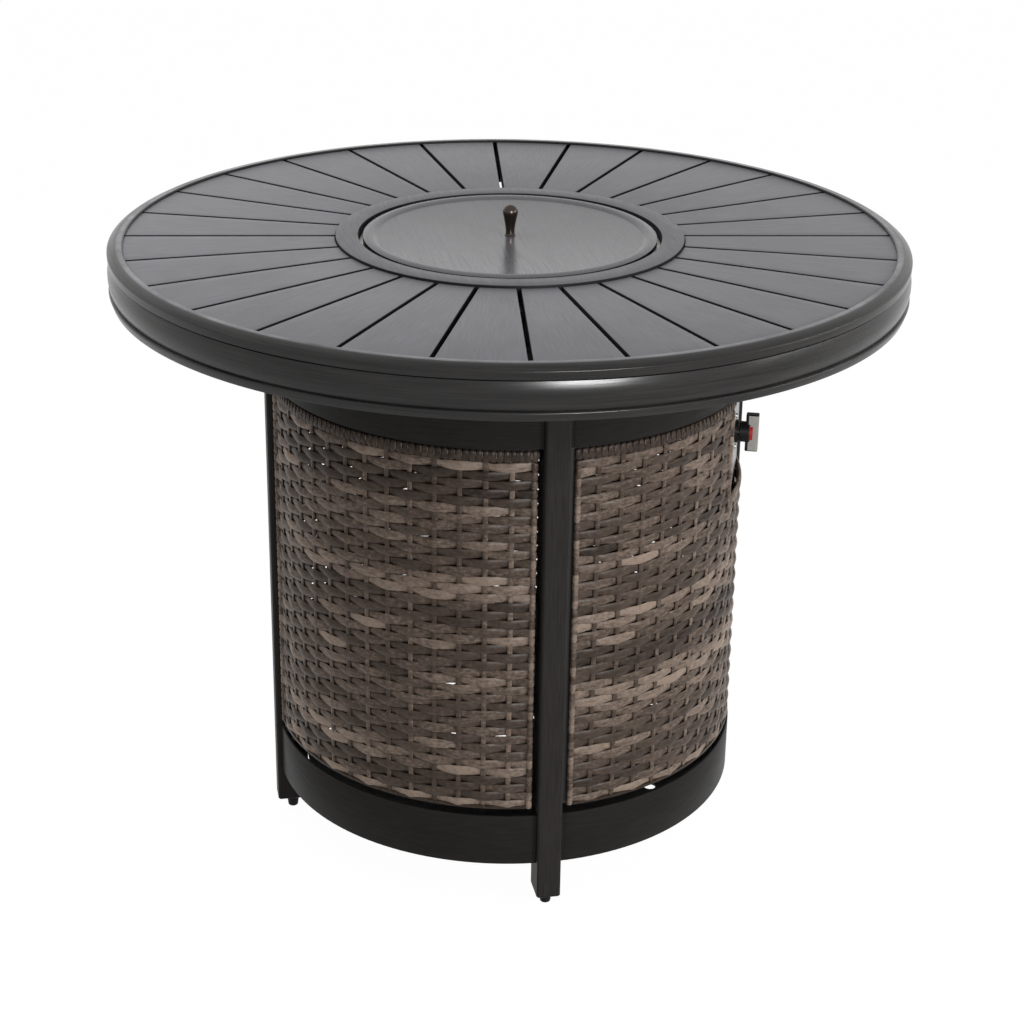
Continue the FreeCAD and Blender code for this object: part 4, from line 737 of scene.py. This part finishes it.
def border_wrap(angle, height, tilt):
    """A narrow strand's turn round the level rod along a panel's border."""
    bm = bmesh.new()
    ring = oval(bm, WRAP_THICKNESS, WRAP_PITCH * 0.97, 6)
    bmesh.ops.translate(bm, verts=ring, vec=(MM, 0, 0))
    bmesh.ops.spin(bm, geom=ring + bm.edges[:], cent=CENTRE, axis=UP, dvec=CENTRE, angle=math.tau, steps=14,
                   use_merge=True, use_duplicate=False)
    for vert in bm.verts:
        flat = Vector((vert.co.x, vert.co.y, 0))
        grown = flat.length + ((BORDER_DEPTH - WRAP_THICKNESS) / 2 - 1) * MM
        flat = flat.normalized() * grown
        vert.co = Vector((flat.x, flat.y * (BORDER_HEIGHT / BORDER_DEPTH), vert.co.z))
    bmesh.ops.rotate(bm, verts=bm.verts, cent=CENTRE, matrix=Matrix.Rotation(math.pi / 2, 3, "X"))
    bmesh.ops.rotate(bm, verts=bm.verts, cent=CENTRE, matrix=Matrix.Rotation(tilt, 3, "X"))
    bmesh.ops.translate(bm, verts=bm.verts, vec=(sizes().weave_radius, 0, height * MM))
    bmesh.ops.rotate(bm, verts=bm.verts, cent=CENTRE, matrix=Matrix.Rotation(math.radians(angle), 3, "Z"))
    bmesh.ops.recalc_face_normals(bm, faces=bm.faces)
    return bm


def row_tones(count, dice):
    """A tone for each row from the lowest up: bands of light strands among darker ones."""
    tones = [0.8]
    light = False
    while len(tones) < count:
        level = dice.uniform(0.58, 0.72) if light else dice.uniform(0.28, 0.44)
        for _ in range(dice.randint(2, 4) if light else dice.randint(3, 6)):
            tones.append(level + dice.uniform(-0.10, 0.10))
        light = not light
    return tones[:count - 1] + [0.7]


def tone_floats(bm, row, shade, layout, dice):
    """Give each of a strand's floats a tone of its own."""
    tag(bm, bm.faces, shade, 0)
    layer = bm.faces.layers.float["shade"]
    offsets = {}
    for face in bm.faces:
        middle = face.calc_center_median()
        angle = math.degrees(math.atan2(middle.y, middle.x))
        angle += 360 * round((layout["middle"] - angle) / 360)
        place = (angle - layout["first_stake"]) / layout["stake_angle"]
        number = math.floor((place - row % 2 + 1) / 2)
        if number not in offsets:
            offsets[number] = dice.uniform(-0.16, 0.16) + (0.25 if dice.random() < 0.1 else 0)
        face[layer] = min(max(shade + offsets[number], 0.04), 1)


def woven_panel(name, centre, notch=False):
    """Strands, stakes and wrapped borders of one panel, as one mesh.

    A notch leaves room for the gas control."""
    dice = random.Random(name)
    radius = sizes().weave_radius / MM
    degrees_per_mm = math.degrees(1 / radius)
    half = 45 - math.degrees(math.asin(PANEL_MARGIN / radius))
    start, end = centre - half, centre + half
    low, high = PANEL_LOW + 0.4, PANEL_HIGH - BORDER_HEIGHT
    inset = (ROD_WIDTH / 2 + STAKE_INSET) * degrees_per_mm
    layout = {"row_pitch": (high - low) / sizes().row_count,
              "stake_angle": (end - start - 2 * inset) / (sizes().stake_count - 1),
              "first_stake": start + inset, "middle": centre}
    notch_start = CONTROL_ANGLE - math.degrees(math.asin(NOTCH_SIDE / radius))
    rod_half = ROD_WIDTH / 2 * degrees_per_mm
    wave = dice.uniform(0, math.tau)
    panel = bmesh.new()

    def put(bm, shade, upright):
        tag(bm, bm.faces, shade, upright)
        merge(panel, bm)

    for row, shade in enumerate(row_tones(sizes().row_count, dice)):
        height = low + layout["row_pitch"] * (row + 0.5)
        cut = notch and height > NOTCH_LOW - BORDER_HEIGHT
        row_end = notch_start if cut else end
        ends = (start + rod_half, row_end - rod_half)
        strand = weave_strand(row, height, *ends, layout, dice, wave)
        tone_floats(strand, row, shade, layout, dice)
        merge(panel, strand)
        for angle in ends:
            put(side_wrap(angle, height, layout["row_pitch"] * 0.98), dice.uniform(0.45, 0.95), 0)
    for index in range(sizes().stake_count):
        angle = layout["first_stake"] + layout["stake_angle"] * index
        top = NOTCH_LOW - 3 if notch and angle > notch_start - rod_half * 2 else PANEL_HIGH - 3
        put(stake(angle, PANEL_LOW + 3, top), dice.uniform(0.35, 0.7), 1)
    put(bent_strand(radius, PANEL_LOW + FOOT_ROD / 2, start, end, 40, FOOT_ROD, FOOT_ROD), 0.12, 0)
    borders = [(PANEL_HIGH, start, notch_start if notch else end)]
    if notch:
        borders.append((NOTCH_LOW, notch_start - 2 * rod_half, end))
    for edge, first, last in borders:
        middle = edge - BORDER_HEIGHT / 2
        count = round((last - first) / degrees_per_mm / WRAP_PITCH)
        for index in range(count):
            angle = first + (index + 0.5) * (last - first) / count
            uppermost = edge == PANEL_HIGH
            put(border_wrap(angle, middle, dice.uniform(-0.1, 0.1)),
                dice.uniform(0.08, 0.3) if uppermost else dice.uniform(0.5, 0.8), 1)
            # painted highlights: light strips in the upper half of the top border stand for glints on the
            # wraps
            if uppermost:
                glint_top = edge - dice.uniform(0.6, 1.6)
                glint_low = glint_top - GLINT_TICK_HEIGHT * dice.uniform(0.6, 1.1)
                glint_tick = stake(angle + WRAP_PITCH / 2 * degrees_per_mm, glint_low, glint_top, GLINT_TICK_WIDTH,
                             BORDER_DEPTH / 2)
                put(glint_tick, dice.uniform(0.3, 0.7), 1)
        put(bent_strand(radius, middle, first, last, 40, BORDER_HEIGHT - 3, BORDER_DEPTH - 3), 0.1, 0)
    return panel


class FIRETABLE_OT_panels(bpy.types.Operator):
    """Weave the four resin panels of the drum"""

    bl_idname = "fire_table.panels"
    bl_label = "Woven panels"

    def execute(self, context):
        material = resin("woven_resin")
        for panel, centre in PANEL_CENTRES.items():
            node = "door_wicker" if panel == "front_left" else f"wicker_{panel}"
            body = "door" if panel == "front_left" else "table"
            settle(f"woven_{panel}", woven_panel(panel, centre, panel == "front_right"), body,
                   material, [node], sharp=math.radians(70))
        return {"FINISHED"}


# The burner's stones

STONE_CUTS, STONE_DENTS = 3, 1.3


class FIRETABLE_OT_stones(bpy.types.Operator):
    """Roughen the lava stones in the burner's pan"""

    bl_idname = "fire_table.stones"
    bl_label = "Lava stones"

    def execute(self, context):
        bm = bmesh.new()
        bm.from_mesh(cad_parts["lava_rocks"].data)
        bmesh.ops.remove_doubles(bm, verts=bm.verts, dist=0.02 * MM)
        bmesh.ops.triangulate(bm, faces=bm.faces)
        bmesh.ops.subdivide_edges(bm, edges=bm.edges[:], cuts=STONE_CUTS, use_grid_fill=True)
        bmesh.ops.smooth_vert(bm, verts=bm.verts, factor=0.5,
                              use_axis_x=True, use_axis_y=True, use_axis_z=True)
        bm.normal_update()
        dice = random.Random("lava")
        for vert in bm.verts:
            vert.co -= vert.normal * dice.uniform(0, STONE_DENTS) * MM
        bmesh.ops.recalc_face_normals(bm, faces=bm.faces)
        rock = plain("lava", (0.06, 0.05, 0.046, 1), rough=0.9, grain=160, contrast=0.5, relief=0.5,
                     specular=0.2)
        settle("lava_stones", bm, "table", rock, ["lava_rocks"], sharp=math.pi)
        return {"FINISHED"}


# Finishes of the CAD's own pieces

GRIP_START, GRIP_HEIGHT, GRIP_HALF = 0.2852, 0.505, 0.0215      # metres, where the silver skin lies
BLACK_PLASTIC = (0.008, 0.008, 0.008, 1)


def grip_finish(name):
    """The knob's grip: a silver skin on black, which shows at both ends and along its foot."""
    finish = Finish(name)
    turned_back = finish.add("ShaderNodeMapping", {"Vector": finish.places.outputs["Object"],
                                                   "Rotation": (0, 0, math.radians(-CONTROL_ANGLE))})
    place = finish.add("ShaderNodeSeparateXYZ", {0: turned_back.outputs[0]})
    past_foot = finish.maths("GREATER_THAN", place.outputs["X"], GRIP_START)
    off_middle = finish.maths("ABSOLUTE", finish.maths("SUBTRACT", place.outputs["Z"], GRIP_HEIGHT))
    skin = finish.maths("MULTIPLY", past_foot, finish.maths("LESS_THAN", off_middle, GRIP_HALF))
    grain = finish.spread(finish.noise(260, detail=5), 0.3, 0.7, 0.27, 0.33)
    silver = finish.add("ShaderNodeCombineColor", {
        "Red": grain, "Green": finish.maths("MULTIPLY", grain, 0.94),
        "Blue": finish.maths("MULTIPLY", grain, 0.88)})
    return finish.done(Base_Color=finish.blend(skin, BLACK_PLASTIC, silver.outputs[0]),
                       Metallic=finish.maths("MULTIPLY", skin, 0.8),
                       Roughness=finish.spread(skin, 0, 1, 0.5, 0.34),
                       Specular_IOR_Level=finish.spread(skin, 0, 1, 0.14, 0.4))


class FIRETABLE_OT_finishes(bpy.types.Operator):
    """Give every carried-over CAD piece its finish"""

    bl_idname = "fire_table.finishes"
    bl_label = "Finishes"

    def execute(self, context):
        finishes = {
            "dark_frame": plain("dark_frame", (0.022, 0.021, 0.021, 1), rough=0.5, grain=90, contrast=0.25),
            "zinc_steel": plain("zinc_steel", (0.55, 0.55, 0.53, 1), metallic=1, rough=0.34, grain=300),
            "burner_steel": plain("burner_steel", (0.48, 0.46, 0.43, 1), metallic=1, rough=0.36, grain=40,
                                  contrast=0.22),
            "brass_fittings": plain("brass_fittings", (0.72, 0.50, 0.20, 1), metallic=1, rough=0.3,
                                    grain=120),
            "bare_aluminium": plain("bare_aluminium", (0.62, 0.62, 0.63, 1), metallic=1, rough=0.38,
                                    grain=90),
            "valve_steel": plain("valve_steel", (0.50, 0.50, 0.50, 1), metallic=1, rough=0.42, grain=200),
            "ceramic": plain("ceramic", (0.78, 0.75, 0.68, 1), rough=0.35, grain=200, contrast=0.06),
            "plate_steel": plain("plate_steel", (0.17, 0.16, 0.165, 1), metallic=1, rough=0.3, grain=1,
                                 stretch=(30, 30, 1600), contrast=0.15),
            "black_plastic": plain("black_plastic", BLACK_PLASTIC, rough=0.42, grain=260, contrast=0.2,
                                   specular=0.14),
            "red_plastic": plain("red_plastic", (0.55, 0.012, 0.014, 1), rough=0.38, grain=260, contrast=0.1,
                                 specular=0.3),
            "silver_plastic": grip_finish("silver_plastic"),
            "foot_nylon": plain("foot_nylon", BLACK_PLASTIC, rough=0.6, grain=240, contrast=0.25,
                                specular=0.12),
        }
        for name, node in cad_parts.items():
            if node.hide_render:
                continue
            for slot in node.material_slots:
                material = finishes.get(slot.material.name.split(".")[0])
                if material:
                    slot.material = material
        return {"FINISHED"}


OPERATORS = (FIRETABLE_OT_stage, FIRETABLE_OT_top, FIRETABLE_OT_lid, FIRETABLE_OT_drum, FIRETABLE_OT_panels,
             FIRETABLE_OT_stones, FIRETABLE_OT_finishes)


class FIRETABLE_PT_pieces(bpy.types.Panel):
    """The table's pieces and their sizes"""

    bl_label = "Fire Table"
    bl_idname = "FIRETABLE_PT_pieces"
    bl_space_type = "VIEW_3D"
    bl_region_type = "UI"
    bl_category = "Fire Table"

    def draw(self, context):
        for operator in OPERATORS:
            self.layout.operator(operator.bl_idname)
        for group in (context.scene.fire_table_sizes, context.scene.fire_table_colours):
            for name in group.__annotations__:
                self.layout.prop(group, name)


CLASSES = (FireTableSizes, FireTableColours, *OPERATORS, FIRETABLE_PT_pieces)


def register():
    for item in CLASSES:
        bpy.utils.register_class(item)
    bpy.types.Scene.fire_table_sizes = bpy.props.PointerProperty(type=FireTableSizes)
    bpy.types.Scene.fire_table_colours = bpy.props.PointerProperty(type=FireTableColours)


def unregister():
    del bpy.types.Scene.fire_table_colours
    del bpy.types.Scene.fire_table_sizes
    for item in reversed(CLASSES):
        bpy.utils.unregister_class(item)


def main():
    register()
    for operator in OPERATORS:
        group, name = operator.bl_idname.split(".")
        getattr(getattr(bpy.ops, group), name)()


if __name__ == "__main__":
    main()
